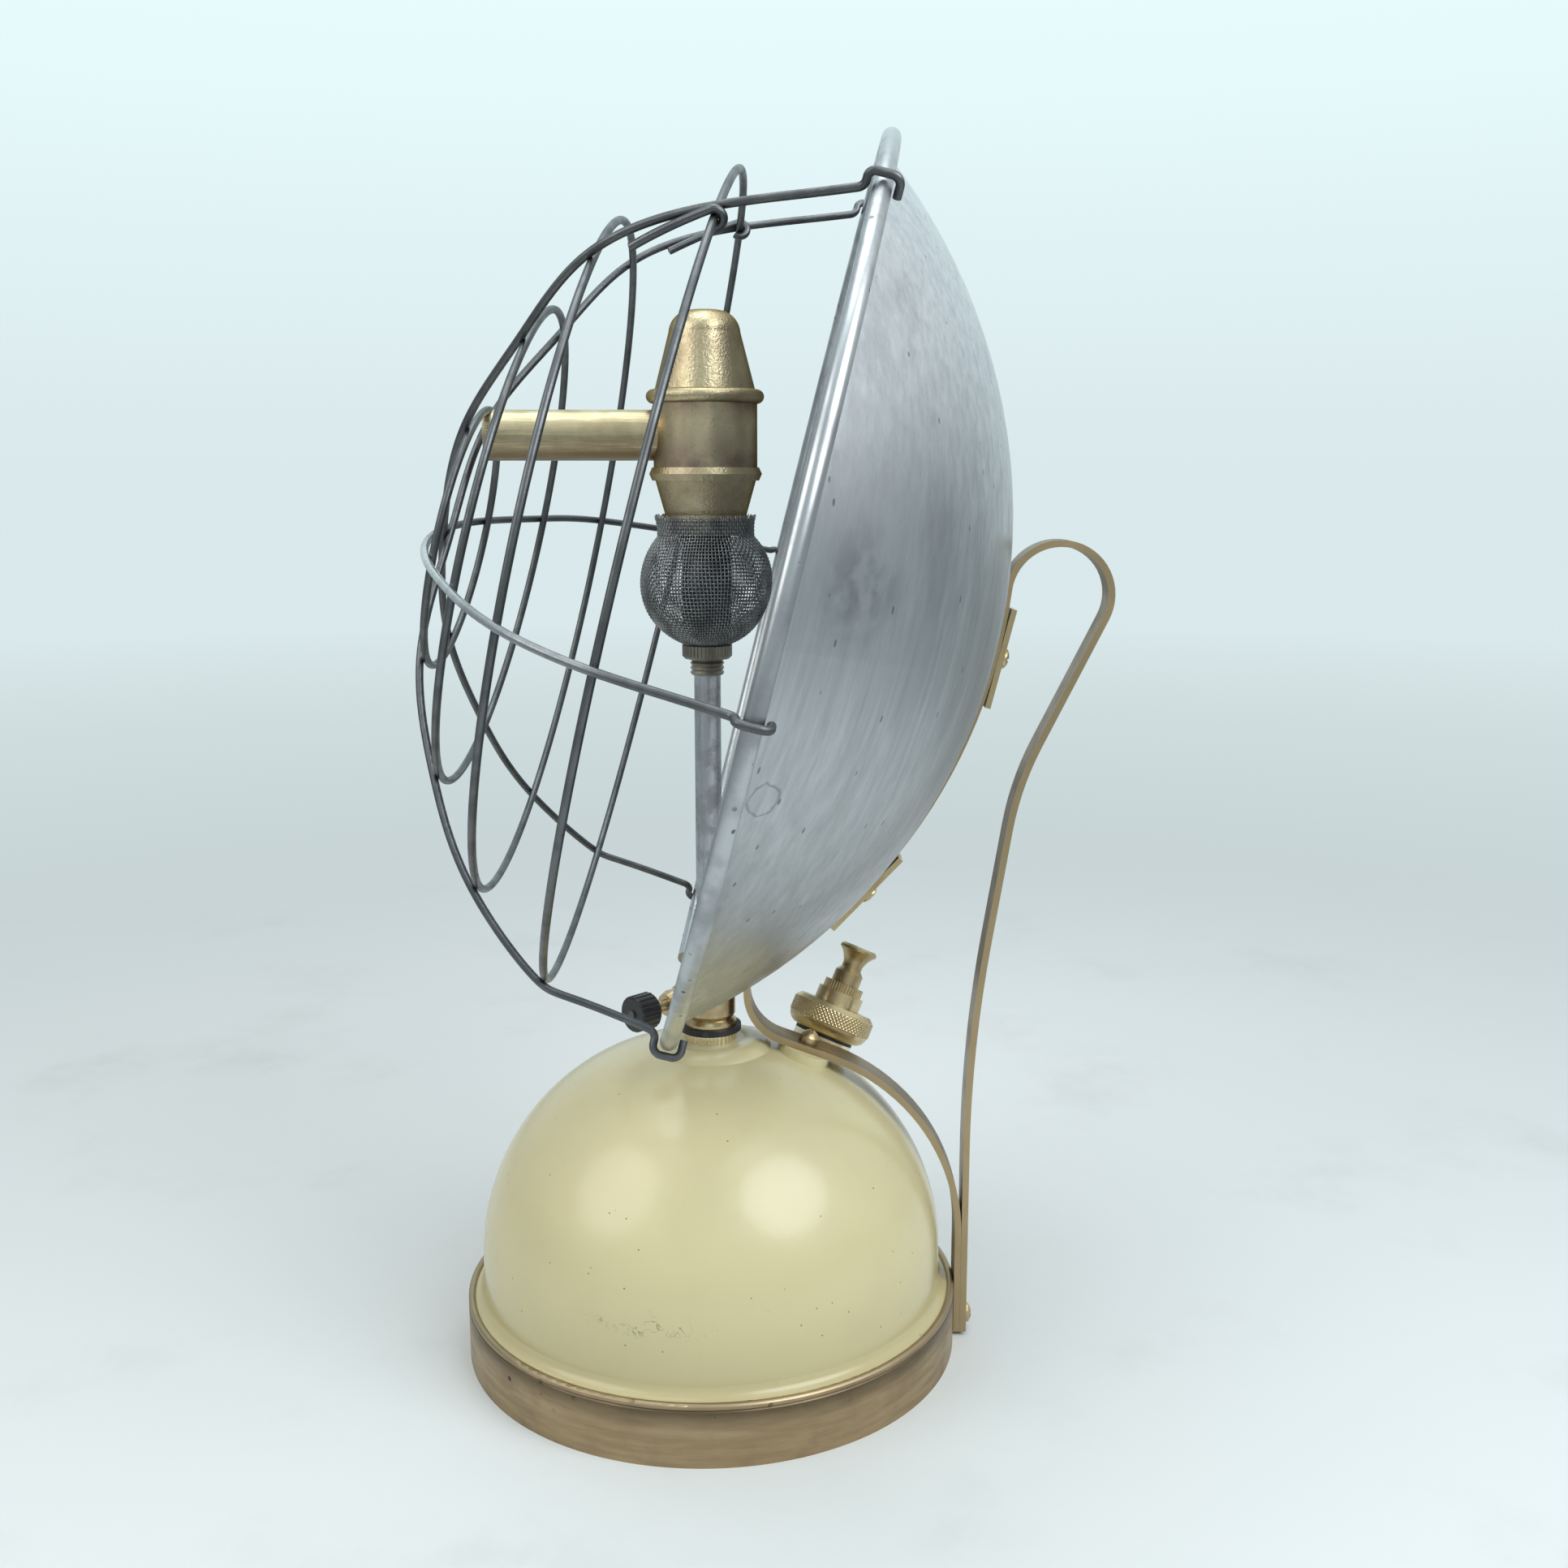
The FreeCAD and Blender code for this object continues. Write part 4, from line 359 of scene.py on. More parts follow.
steel = mixed(tree, calc(tree, "MULTIPLY", mottle, 0.55), steel, (0.24, 0.245, 0.255, 1))
tree.links.new(steel, shader.inputs["Base Color"])
tree.links.new(ranged(tree, mottle, 0.0, 1.0, 0.2, 0.4), shader.inputs["Roughness"])
bumped(tree, shader, lines, distance=0.00002, strength=0.5)
dress(drawn_steel, "vaporiser_tube", "pricker_rod", "pump_rod", "base_nut", "pad_nuts")

# Wire globe: a sleeve of woven steel cloth, gathered at the nut and stretched over the burner's neck.
# Each wire passes over and under the next, and the cut ends stand up raggedly round the cuff.
# Heat has turned it a dull dark grey.
globe_low, globe_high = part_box("wire_globe")
weave_pitch = 0.00126
strand = 0.00025
crimp = 0.00021
globe_radius = (globe_high.x - globe_low.x) / 2 - strand - crimp
globe_middle = 0.2865
cuff_radius = 0.0167
cuff_room = 0.0006
cuff_flare = 0.0008
sways = ((0.020, 3, 120), (0.011, 7, -210))
dents = ((0.00022, 5, 160), (-0.00016, 9, 0))
sway_ease = 0.02
ragged_low, ragged_high = -0.0004, 0.0006
fray_turn = 0.02
fray_lift = 0.0002
foot_angle = math.acos((globe_middle - globe_low.z - strand) / globe_radius)
neck_angle = math.pi - math.asin(cuff_radius / globe_radius)
ball_length = globe_radius * (neck_angle - foot_angle)
neck_height = globe_middle - globe_radius * math.cos(neck_angle)
cuff_length = globe_high.z - neck_height - cuff_room
weft_count = int((ball_length + cuff_length) / weave_pitch)
warp_count = 2 * round(math.pi * globe_radius / weave_pitch)
weave = random.Random(7)


def globe_point(along, around, lift):
    """A point of the cloth, by its length up from the foot, its turn and its lift off the cloth."""
    sway = sum(size * math.sin(waves * around + twist * along) for size, waves, twist in sways)
    dent = sum(size * math.sin(waves * around + twist * along) for size, waves, twist in dents)
    if along < ball_length:
        slope = foot_angle + along / globe_radius
        reach = globe_radius + lift + dent * math.sin(slope)
        radius = reach * math.sin(slope)
        rise = globe_middle - reach * math.cos(slope)
    else:
        up = along - ball_length
        radius = cuff_radius + lift + dent + cuff_flare * (up / cuff_length) ** 3
        rise = neck_height + up
    turned_by = around + sway * min(1.0, along / sway_ease)
    return Vector((radius * math.cos(turned_by), radius * math.sin(turned_by), rise))


def strand_tube(points, closed, verts, faces):
    """Adds a thin four-sided strand along points to a mesh's lists."""
    count = len(points)
    first = len(verts)
    for index, point in enumerate(points):
        before = points[index - 1] if closed or index else point
        after = points[(index + 1) % count] if closed or index < count - 1 else point
        way = (after - before).normalized()
        outward = Vector((point.x, point.y, point.z - globe_middle)).normalized()
        side = way.cross(outward).normalized()
        outward = side.cross(way)
        for across in (outward, side, -outward, -side):
            verts.append(point + across * strand)
    for index in range(count if closed else count - 1):
        ring = first + 4 * index
        after = first + 4 * ((index + 1) % count)
        for corner in range(4):
            turn = (corner + 1) % 4
            faces.append((ring + corner, ring + turn, after + turn, after + corner))
    if not closed:
        faces.append((first + 3, first + 2, first + 1, first))
        last = first + 4 * (count - 1)
        faces.append((last, last + 1, last + 2, last + 3))


def mesh_piece(name, verts, faces, material):
    """A new smooth-shaded piece from a mesh's lists."""
    mesh = bpy.data.meshes.new(name)
    mesh.from_pydata(verts, [], faces)
    mesh.polygons.foreach_set("use_smooth", [True] * len(faces))
    mesh.materials.append(material)
    mesh.update()
    piece = bpy.data.objects.new(name, mesh)
    bpy.context.scene.collection.objects.link(piece)
    return piece


cloth_steel, tree, shader, place = new_finish("woven_steel", metallic=1.0)
scale_patch = placed(tree, patches, {
    "Vector": place, "Scale": 130.0, "Detail": 5.0, "Bare": 0.4, "Full": 0.66})["Mask"]
scaled = mixed(tree, scale_patch, (0.35, 0.355, 0.36, 1), (0.21, 0.213, 0.22, 1))
tree.links.new(scaled, shader.inputs["Base Color"])
tree.links.new(ranged(tree, scale_patch, 0.0, 1.0, 0.38, 0.62), shader.inputs["Roughness"])

cloth_verts = []
cloth_faces = []
for warp in range(warp_count):
    around = math.tau * warp / warp_count
    top = cuff_length + ball_length + weave.uniform(ragged_low, ragged_high)
    path = []
    for half in range(2 * weft_count + 1):
        lift = crimp * math.cos(math.pi * half / 2 + math.pi * warp)
        path.append(globe_point(min(half * weave_pitch / 2, top), around, lift))
    frayed = around + weave.uniform(-fray_turn, fray_turn)
    path.append(globe_point(top, frayed, weave.uniform(-fray_lift, fray_lift)))
    strand_tube(path, False, cloth_verts, cloth_faces)
for weft in range(weft_count + 1):
    path = []
    for half in range(2 * warp_count):
        lift = -crimp * math.cos(math.pi * half / 2 + math.pi * weft)
        path.append(globe_point(weft * weave_pitch, math.pi * half / warp_count, lift))
    strand_tube(path, True, cloth_verts, cloth_faces)
woven_globe = mesh_piece("woven_globe", cloth_verts, cloth_faces, cloth_steel)
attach(woven_globe, "heater")
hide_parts("wire_globe")

# Mixing tube: a plain steel tube round the vaporiser, from the globe's nut up to the burner's foot.
# It is cut from drawn tube, black with soot, and shows through the cloth as a dark band with straight edges.


def add_sleeve(verts, faces, outline, sides):
    """Adds a ring whose closed outline of radius and height goes round the upright axis."""
    first = len(verts)
    count = len(outline)
    for step in range(sides):
        turn = math.tau * step / sides
        for radius, rise in outline:
            verts.append(Vector((radius * math.cos(turn), radius * math.sin(turn), rise)))
    for step in range(sides):
        here = first + step * count
        beside = first + (step + 1) % sides * count
        for corner in range(count):
            turn = (corner + 1) % count
            faces.append((here + corner, beside + corner, beside + turn, here + turn))


mixing_radius = 0.00875
mixing_bore = 0.00815
mixing_sides = 64
mixing_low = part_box("globe_nut")[1].z
mixing_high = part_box("burner_cone")[0].z
tube_verts = []
tube_faces = []
add_sleeve(tube_verts, tube_faces, [(mixing_radius, mixing_low), (mixing_radius, mixing_high),
                                    (mixing_bore, mixing_high), (mixing_bore, mixing_low)], mixing_sides)
sooty, tree, shader, place = new_finish("sooty_steel", roughness=0.5, metallic=1.0)
soot = placed(tree, patches, {
    "Vector": place, "Scale": 90.0, "Detail": 5.0, "Bare": 0.35, "Full": 0.7})["Mask"]
sooted = mixed(tree, soot, (0.13, 0.135, 0.145, 1), (0.06, 0.062, 0.068, 1))
tree.links.new(sooted, shader.inputs["Base Color"])
mixing_tube = mesh_piece("mixing_tube", tube_verts, tube_faces, sooty)
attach(mixing_tube, "heater")

# Burner: a spun cone, a barrel with a soldered air tube and a tall cap, all thin brass with rolled flanges.
# The cap and cone are pale antique brass with a hammered peel, and the barrel is tinted brown and violet.
# The air tube keeps the cross-hatch of the emery that cleaned it.
body_low, body_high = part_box("burner_body")
tint_foot, tint_rise = body_low.z + 0.001, body_low.z + 0.014
tint_top = body_high.z - 0.006
heat_tint = (0.20, 0.13, 0.12, 1)
soot_brown = (0.10, 0.08, 0.05, 1)
glancing_brown = (0.22, 0.18, 0.12, 1)


def burner_brass(name, pale, dull, peel_height, tint):
    """Thin spun brass: pale with duller patches, a fine peel and a share of heat tint."""
    material, tree, shader, place = new_finish(name, metallic=1.0)
    shader.inputs["Specular Tint"].default_value = glancing_brown
    dulled = placed(tree, patches, {
        "Vector": place, "Scale": 70.0, "Detail": 6.0, "Bare": 0.38, "Full": 0.7})["Mask"]
    shade = mixed(tree, dulled, pale, dull)
    height = shader_node(tree, "SeparateXYZ", {"Vector": place}).outputs["Z"]
    low_heat = ranged(tree, height, tint_foot, tint_rise, 1.0, 0.0)
    high_heat = ranged(tree, height, tint_top, body_high.z, 0.0, 0.8)
    heat = calc(tree, "MAXIMUM", low_heat, high_heat)
    uneven = placed(tree, patches, {"Vector": place, "Scale": 55.0, "Bare": 0.25, "Full": 0.7})["Mask"]
    heat = calc(tree, "MULTIPLY", heat, calc(tree, "MULTIPLY", uneven, tint))
    shade = mixed(tree, heat, shade, heat_tint)
    soot = placed(tree, pits, {"Vector": place, "Scale": 900.0, "Size": 0.26, "Share": 0.12})["Mask"]
    shade = mixed(tree, calc(tree, "MULTIPLY", soot, 0.35), shade, soot_brown)
    tree.links.new(shade, shader.inputs["Base Color"])
    spoiled = calc(tree, "ADD", dulled, heat)
    tree.links.new(ranged(tree, spoiled, 0.0, 1.4, 0.27, 0.5), shader.inputs["Roughness"])
    peel = shader_node(tree, "TexNoise", {"Vector": place, "Scale": 1150.0, "Detail": 2.0}).outputs["Fac"]
    bumped(tree, shader, peel, distance=peel_height, strength=0.6)
    return material


cap_brass = burner_brass("cap_brass", (0.74, 0.64, 0.40, 1), (0.55, 0.455, 0.265, 1),
                         peel_height=0.0003, tint=0.5)
dress(cap_brass, "burner_cap", "burner_cone")
barrel_brass = burner_brass("barrel_brass", (0.66, 0.55, 0.36, 1), (0.48, 0.385, 0.25, 1),
                            peel_height=0.00008, tint=0.9)
dress(barrel_brass, "burner_body")

tube_brass, tree, shader, place = new_finish("air_tube_brass", metallic=1.0)
emery_turns = (28.0, -34.0)
emery_stretch = (300.0, 60.0, 1900.0)
hatching = []
for turn in emery_turns:
    across = shader_node(tree, "Mapping", {
        "Vector": place, "Rotation": (math.radians(turn), 0, 0), "Scale": emery_stretch}).outputs["Vector"]
    hatching.append(placed(tree, patches, {
        "Vector": across, "Scale": 1.0, "Detail": 2.0, "Bare": 0.4, "Full": 0.62})["Mask"])
emery = calc(tree, "MAXIMUM", *hatching)
dulled = placed(tree, patches, {
    "Vector": place, "Scale": 75.0, "Detail": 6.0, "Bare": 0.36, "Full": 0.7})["Mask"]
shade = mixed(tree, dulled, (0.78, 0.67, 0.43, 1), (0.58, 0.475, 0.29, 1))
shade = mixed(tree, calc(tree, "MULTIPLY", emery, 0.3), shade, (0.20, 0.165, 0.10, 1))
# Painted shade: the tube's underside is painted darker the more its surface faces down.
normal = shader_node(tree, "NewGeometry").outputs["Normal"]
facing_up = shader_node(tree, "SeparateXYZ", {"Vector": normal}).outputs["Z"]
shade = mixed(tree, ranged(tree, facing_up, -0.75, 0.30, 0.85, 0.0), shade, (0.20, 0.14, 0.085, 1))
tree.links.new(shade, shader.inputs["Base Color"])
tree.links.new(ranged(tree, emery, 0.0, 1.0, 0.26, 0.42), shader.inputs["Roughness"])
bumped(tree, shader, emery, distance=0.00003, strength=0.5)
dress(tube_brass, "air_tube")

# Reflector: a dish of soft aluminium spun thin, its edge rolled round into a bead that stops at a gap below.
# Wire wool brushed it up and down, and damp has left grey bruises, pale streaks and small dark flecks.
# A knock darkens one spot on its side, and a lost label has left a faint ring near the edge.
dish_low, dish_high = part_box("reflector_bowl")
dish_tilt = math.radians(14.7)
stroke_stretch = (340.0, 340.0, 16.0)
smear_stretch = (26.0, 26.0, 9.0)
fleck_stretch = (1.0, 1.0, 0.35)
dish_shade_foot, dish_shade_end = dish_low.z + 0.05, dish_high.z - 0.06
knock_spot = (0.1351, 0.0486, 0.2935)
knock_core, knock_edge = 0.003, 0.021
label_spot = (0.1410, 0.0216, 0.2360)
label_wander = 0.006
label_inner = (0.0076, 0.0080)
label_outer = (0.0084, 0.0088)
aluminium, tree, shader, place = new_finish("bowl_aluminium", metallic=1.0)
tilted = shader_node(tree, "Mapping", {"Vector": place, "Rotation": (dish_tilt, 0, 0)}).outputs["Vector"]
brushed = shader_node(tree, "Mapping", {"Vector": tilted, "Scale": stroke_stretch}).outputs["Vector"]
strokes = shader_node(tree, "TexNoise", {"Vector": brushed, "Scale": 1.0, "Detail": 5.0, "Roughness": 0.65})
strokes = strokes.outputs["Fac"]
smeared = shader_node(tree, "Mapping", {"Vector": tilted, "Scale": smear_stretch}).outputs["Vector"]
cloudy_grey = shader_node(tree, "TexNoise", {"Vector": tilted, "Scale": 130.0, "Detail": 5.0}).outputs["Fac"]
bruises = placed(tree, patches, {
    "Vector": smeared, "Scale": 1.0, "Detail": 7.0, "Bare": 0.5, "Full": 0.72})["Mask"]
pale = placed(tree, patches, {
    "Vector": smeared, "Scale": 2.3, "Detail": 5.0, "Bare": 0.5, "Full": 0.75})["Mask"]
height = shader_node(tree, "SeparateXYZ", {"Vector": place}).outputs["Z"]
# Painted shade: the dish is painted darker towards the bottom.
dish_low_shade = ranged(tree, height, dish_shade_foot, dish_shade_end, 1.0, 0.0)
stroked = ranged(tree, strokes, 0.3, 0.7, 0.0, 1.0)
bright = mixed(tree, stroked, (0.73, 0.765, 0.80, 1), (0.50, 0.525, 0.555, 1))
bright = mixed(tree, calc(tree, "MULTIPLY", dish_low_shade, 0.75), bright, (0.29, 0.29, 0.285, 1))
from_knock = shader_node(tree, "VectorMath", {0: place, 1: knock_spot}, operation="DISTANCE").outputs["Value"]
knock = ranged(tree, from_knock, knock_core, knock_edge, 1.0, 0.0)
knock = calc(tree, "MULTIPLY", knock, ranged(tree, cloudy_grey, 0.35, 0.6, 0.15, 1.0))
bruises = calc(tree, "MAXIMUM", calc(tree, "MULTIPLY", bruises, 0.45), calc(tree, "MULTIPLY", knock, 0.85))
bright = mixed(tree, bruises, bright, (0.20, 0.21, 0.225, 1))
from_label = shader_node(tree, "VectorMath", {0: place, 1: label_spot}, operation="DISTANCE").outputs["Value"]
ragged = calc(tree, "ADD", from_label, calc(tree, "MULTIPLY", cloudy_grey, label_wander))
ring_stain = calc(tree, "MULTIPLY", ranged(tree, ragged, *label_inner, 0.0, 1.0),
                  ranged(tree, ragged, *label_outer, 1.0, 0.0))
bright = mixed(tree, calc(tree, "MULTIPLY", ring_stain, 0.5), bright, (0.16, 0.165, 0.175, 1))
bright = mixed(tree, calc(tree, "MULTIPLY", pale, 0.3), bright, (0.74, 0.76, 0.78, 1))
drawn_out = shader_node(tree, "Mapping", {"Vector": tilted, "Scale": fleck_stretch}).outputs["Vector"]
flecks = placed(tree, pits, {"Vector": drawn_out, "Scale": 330.0, "Size": 0.15, "Share": 0.14})["Mask"]
bright = mixed(tree, calc(tree, "MULTIPLY", flecks, 0.7), bright, (0.12, 0.12, 0.125, 1))
tree.links.new(bright, shader.inputs["Base Color"])
worn = calc(tree, "ADD", ranged(tree, strokes, 0.3, 0.7, 0.0, 0.5), calc(tree, "MULTIPLY", bruises, 0.5))
tree.links.new(ranged(tree, worn, 0.0, 1.0, 0.30, 0.50), shader.inputs["Roughness"])
bumped(tree, shader, strokes, distance=0.00006, strength=0.6)
dress(aluminium, "reflector_bowl")

rim_metal, tree, shader, place = new_finish("rim_aluminium", metallic=1.0)
wiped = placed(tree, patches, {
    "Vector": place, "Scale": 60.0, "Detail": 6.0, "Bare": 0.4, "Full": 0.7})["Mask"]
nicks = placed(tree, pits, {"Vector": place, "Scale": 420.0, "Size": 0.3, "Share": 0.14})["Mask"]
knocked = placed(tree, patches, {"Vector": place, "Scale": 22.0, "Bare": 0.48, "Full": 0.6})["Mask"]
nicks = calc(tree, "MULTIPLY", nicks, knocked)
shade = mixed(tree, wiped, (0.50, 0.52, 0.54, 1), (0.34, 0.355, 0.37, 1))
shade = mixed(tree, nicks, shade, (0.16, 0.16, 0.165, 1))
tree.links.new(shade, shader.inputs["Base Color"])
uneven = calc(tree, "ADD", wiped, nicks)
tree.links.new(ranged(tree, uneven, 0.0, 1.5, 0.3, 0.5), shader.inputs["Roughness"])
bumped(tree, shader, calc(tree, "SUBTRACT", wiped, nicks), distance=0.00006, strength=0.5)
dress(rim_metal, "reflector_rim")

# Stand strap: one length of half-hard brass strip bent into carrying handle, back stay and dome rest.
# Pads of the same strip clamp the dish to it with slotted screws, and one screw holds it to the base ring.
# Its faces are satin brown where hands polish them, and its edges are painted paler as a highlight.
strap_brass, tree, shader, place = new_finish("satin_strap_brass", metallic=1.0)
roll_stretch = (1500.0, 40.0, 40.0)
drawn = shader_node(tree, "Mapping", {"Vector": place, "Scale": roll_stretch}).outputs["Vector"]
rolling = placed(tree, patches, {
    "Vector": drawn, "Scale": 1.0, "Detail": 3.0, "Bare": 0.3, "Full": 0.7})["Mask"]
handled = placed(tree, patches, {
    "Vector": place, "Scale": 38.0, "Detail": 5.0, "Bare": 0.4, "Full": 0.68})["Mask"]
shade = mixed(tree, rolling, (0.275, 0.20, 0.12, 1), (0.215, 0.152, 0.088, 1))
shade = mixed(tree, calc(tree, "MULTIPLY", handled, 0.5), shade, (0.15, 0.11, 0.07, 1))
across = shader_node(tree, "SeparateXYZ", {"Vector": place}).outputs["X"]
side = shader_node(tree, "Math", {0: across}, operation="ABSOLUTE").outputs[0]
strap_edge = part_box("stand_strap")[1].x
edge_highlight_from, edge_highlight_full = strap_edge - 0.0008, strap_edge - 0.0001
edge_highlight_brass = (0.50, 0.38, 0.22, 1)
# Painted highlight: the strap's edges are painted paler along the arris.
shade = mixed(tree, ranged(tree, side, edge_highlight_from, edge_highlight_full, 0.0, 0.75), shade, edge_highlight_brass)
tree.links.new(shade, shader.inputs["Base Color"])
tree.links.new(ranged(tree, handled, 0.0, 1.0, 0.34, 0.48), shader.inputs["Roughness"])
bumped(tree, shader, rolling, distance=0.00002, strength=0.5)
dress(strap_brass, "stand_strap")

crosswise = (1, 0, 0)
pad_brass = turned_brass("pad_brass", (0.58, 0.46, 0.26, 1), (0.38, 0.28, 0.15, 1),
                         middle, crosswise, roughness=0.3)
dress(pad_brass, "upper_pad", "lower_pad", "pad_screws", "base_screw", "strap_screw")

# Guard: three bows and four hoops of drawn steel wire, welded where they cross and hooked over the bead.
# The wire is dark grey with a dry oxide; along the front of the side bow it is burnished bright by hands,
# with a painted highlight on its near side.
guard_wire, tree, shader, place = new_finish("guard_wire", metallic=1.0)
oxide = placed(tree, patches, {
    "Vector": place, "Scale": 90.0, "Detail": 6.0, "Bare": 0.38, "Full": 0.64})["Mask"]
dry = shader_node(tree, "TexNoise", {"Vector": place, "Scale": 1400.0, "Detail": 2.0}).outputs["Fac"]
shade = mixed(tree, oxide, (0.15, 0.156, 0.162, 1), (0.11, 0.115, 0.12, 1))
tree.links.new(shade, shader.inputs["Base Color"])
tree.links.new(ranged(tree, oxide, 0.0, 1.0, 0.36, 0.44), shader.inputs["Roughness"])
bumped(tree, shader, dry, distance=0.00003, strength=0.4)
dress(guard_wire, "guard_bow_a", "guard_bow_b", "guard_ties")
dress(guard_wire, "guard_hoop_1", "guard_hoop_2", "guard_hoop_3", "guard_hoop_4")

burnished_highlit, tree, shader, place = new_finish("burnished_highlit_wire", metallic=1.0)
highlight_front, highlight_back = -0.085, -0.015
highlight_inner, highlight_outer = -0.01, 0.05
oxide = placed(tree, patches, {
    "Vector": place, "Scale": 80.0, "Detail": 6.0, "Bare": 0.4, "Full": 0.66})["Mask"]
spot = shader_node(tree, "SeparateXYZ", {"Vector": place})
# Burnish and painted highlight: the front of the side bow is painted bright and smooth on its near side.
forward = ranged(tree, spot.outputs["Y"], highlight_front, highlight_back, 1.0, 0.0)
near_side = ranged(tree, spot.outputs["X"], highlight_inner, highlight_outer, 0.0, 1.0)
burnish_highlight_zone = calc(tree, "MULTIPLY", forward, near_side)
burnish_and_highlight = calc(tree, "MULTIPLY", burnish_highlight_zone, ranged(tree, oxide, 0.0, 1.0, 1.0, 0.6))
shade = mixed(tree, oxide, (0.155, 0.16, 0.166, 1), (0.115, 0.12, 0.125, 1))
shade = mixed(tree, burnish_and_highlight, shade, (0.66, 0.68, 0.70, 1))
tree.links.new(shade, shader.inputs["Base Color"])
tree.links.new(ranged(tree, burnish_and_highlight, 0.0, 1.0, 0.46, 0.2), shader.inputs["Roughness"])
dress(burnished_highlit, "guard_side_bow")

# Filler cap and pump: a turned brass cap screwed onto the filler with the air pump through its middle.
# Its grip is a band of diamond knurling, rolled in so that rows of small points stand up.
# The plunger's waisted knob pulls straight out along the same axis, and the barrel hangs in the tank.
pumping = next(joint for joint in frame["joints"] if joint["name"] == "pump_turn")
pump_axis = Vector(pumping["axis"]).normalized()
pump_seat = Vector(pumping["pos_m"])
pump_brass = turned_brass("pump_brass", (0.66, 0.53, 0.31, 1), (0.48, 0.37, 0.205, 1),
                          pump_seat, pump_axis, roughness=0.27)
knob_brass = turned_brass("knob_brass", (0.50, 0.395, 0.225, 1), (0.36, 0.275, 0.15, 1),
                          pump_seat, pump_axis, roughness=0.3)
dress(knob_brass, "pump_knob")
dress(pump_brass, "pump_cap", "pump_guide", "pump_barrel", "pump_piston", "piston_nut", "valve_body")

knurl_low, knurl_high = 0.0098, 0.0162
cap_radius = 0.016
knurl_points = 64
knurl_depth = 0.00042
knurl_slant = 0.9
knurl_fade = 0.08
knurl_sink = 0.00012
knurl_lift = 0.00016
knurl_bed = cap_radius - 0.0006
steps_per_point = 8
steps_round = knurl_points * steps_per_point
steps_up = 40
upright_to_pump = pump_axis.to_track_quat("Z", "Y").to_matrix().to_4x4()
pump_place = Matrix.Translation(pump_seat) @ upright_to_pump
knurl_verts = []
for level in range(steps_up + 1):
    share = level / steps_up
    rise = knurl_low + (knurl_high - knurl_low) * share
    for step in range(steps_round):
        turn = math.tau * step / steps_round
        slant = rise / cap_radius * knurl_points * knurl_slant
        left = abs((turn * knurl_points + slant) / math.tau % 1 - 0.5) * 2
        right = abs((turn * knurl_points - slant) / math.tau % 1 - 0.5) * 2
        edge = min(1.0, share / knurl_fade, (1 - share) / knurl_fade)
        radius = cap_radius - knurl_sink + edge * (knurl_lift + knurl_depth * min(left, right))
        point = Vector((radius * math.cos(turn), radius * math.sin(turn), rise))
        knurl_verts.append(pump_place @ point)
for rise in (knurl_high, knurl_low):
    for step in range(steps_round):
        turn = math.tau * step / steps_round
        point = Vector((knurl_bed * math.cos(turn), knurl_bed * math.sin(turn), rise))
        knurl_verts.append(pump_place @ point)
knurl_faces = []
levels = steps_up + 3
for level in range(levels):
    above = (level + 1) % levels
    for step in range(steps_round):
        beside = (step + 1) % steps_round
        knurl_faces.append((level * steps_round + step, level * steps_round + beside,
                            above * steps_round + beside, above * steps_round + step))
cap_knurl = mesh_piece("pump_cap_knurl", knurl_verts, knurl_faces, pump_brass)
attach(cap_knurl, "pump_unit")

# Valve spring: a small coil of hard steel wire that holds the non-return valve's rubber pip against its seat.
# It stands on the end wall of the valve's nose, and its end turns lie close so that it sits square.
# Air from the pump pushes the pip down and the coil shortens under it; this coil is built at one fixed
# length.
spring_low, spring_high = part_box("valve_spring")
spring_outer = 0.0026
spring_wire = 0.0003
spring_turns = 5.5
spring_clearance = 0.00003
close_pitch = 2.1
spring_lean = math.hypot(pump_axis.x, pump_axis.y)
spring_length = (spring_high.z - spring_low.z - 2 * spring_outer * spring_lean) / pump_axis.z
spring_foot = (spring_low + spring_high) / 2 - pump_axis * spring_length / 2
spring_place = Matrix.Translation(spring_foot) @ upright_to_pump
wound_radius = spring_outer - spring_wire
close_rise = close_pitch * spring_wire
wound_height = spring_length - 2 * (spring_wire + spring_clearance)
open_rise = (wound_height - 2 * close_rise) / (spring_turns - 2)
wire_sides = 8
steps_in_turn = 24
coil_steps = int(spring_turns * steps_in_turn)
coil_verts = []
for step in range(coil_steps + 1):
    wound = step / steps_in_turn
    closed_turns = min(wound, 1) + max(wound - spring_turns + 1, 0)
    open_turns = min(max(wound - 1, 0), spring_turns - 2)
    rise = spring_wire + spring_clearance + close_rise * closed_turns + open_rise * open_turns
    for side in range(wire_sides):
        section = math.tau * side / wire_sides
        radius = wound_radius + spring_wire * math.cos(section)
        coil_verts.append(spring_place @ Vector((radius * math.cos(math.tau * wound),
                                                 radius * math.sin(math.tau * wound),
                                                 rise + spring_wire * math.sin(section))))
coil_faces = []
for step in range(coil_steps):
    for side in range(wire_sides):
        here = step * wire_sides + side
        beside = step * wire_sides + (side + 1) % wire_sides
        coil_faces.append((here, here + wire_sides, beside + wire_sides, beside))
coil_faces.append(tuple(range(wire_sides)))
coil_faces.append(tuple(reversed(range(coil_steps * wire_sides, (coil_steps + 1) * wire_sides))))
valve_coil = mesh_piece("valve_coil", coil_verts, coil_faces, drawn_steel)
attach(valve_coil, "pump_unit")
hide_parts("valve_spring")
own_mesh(valve_coil)

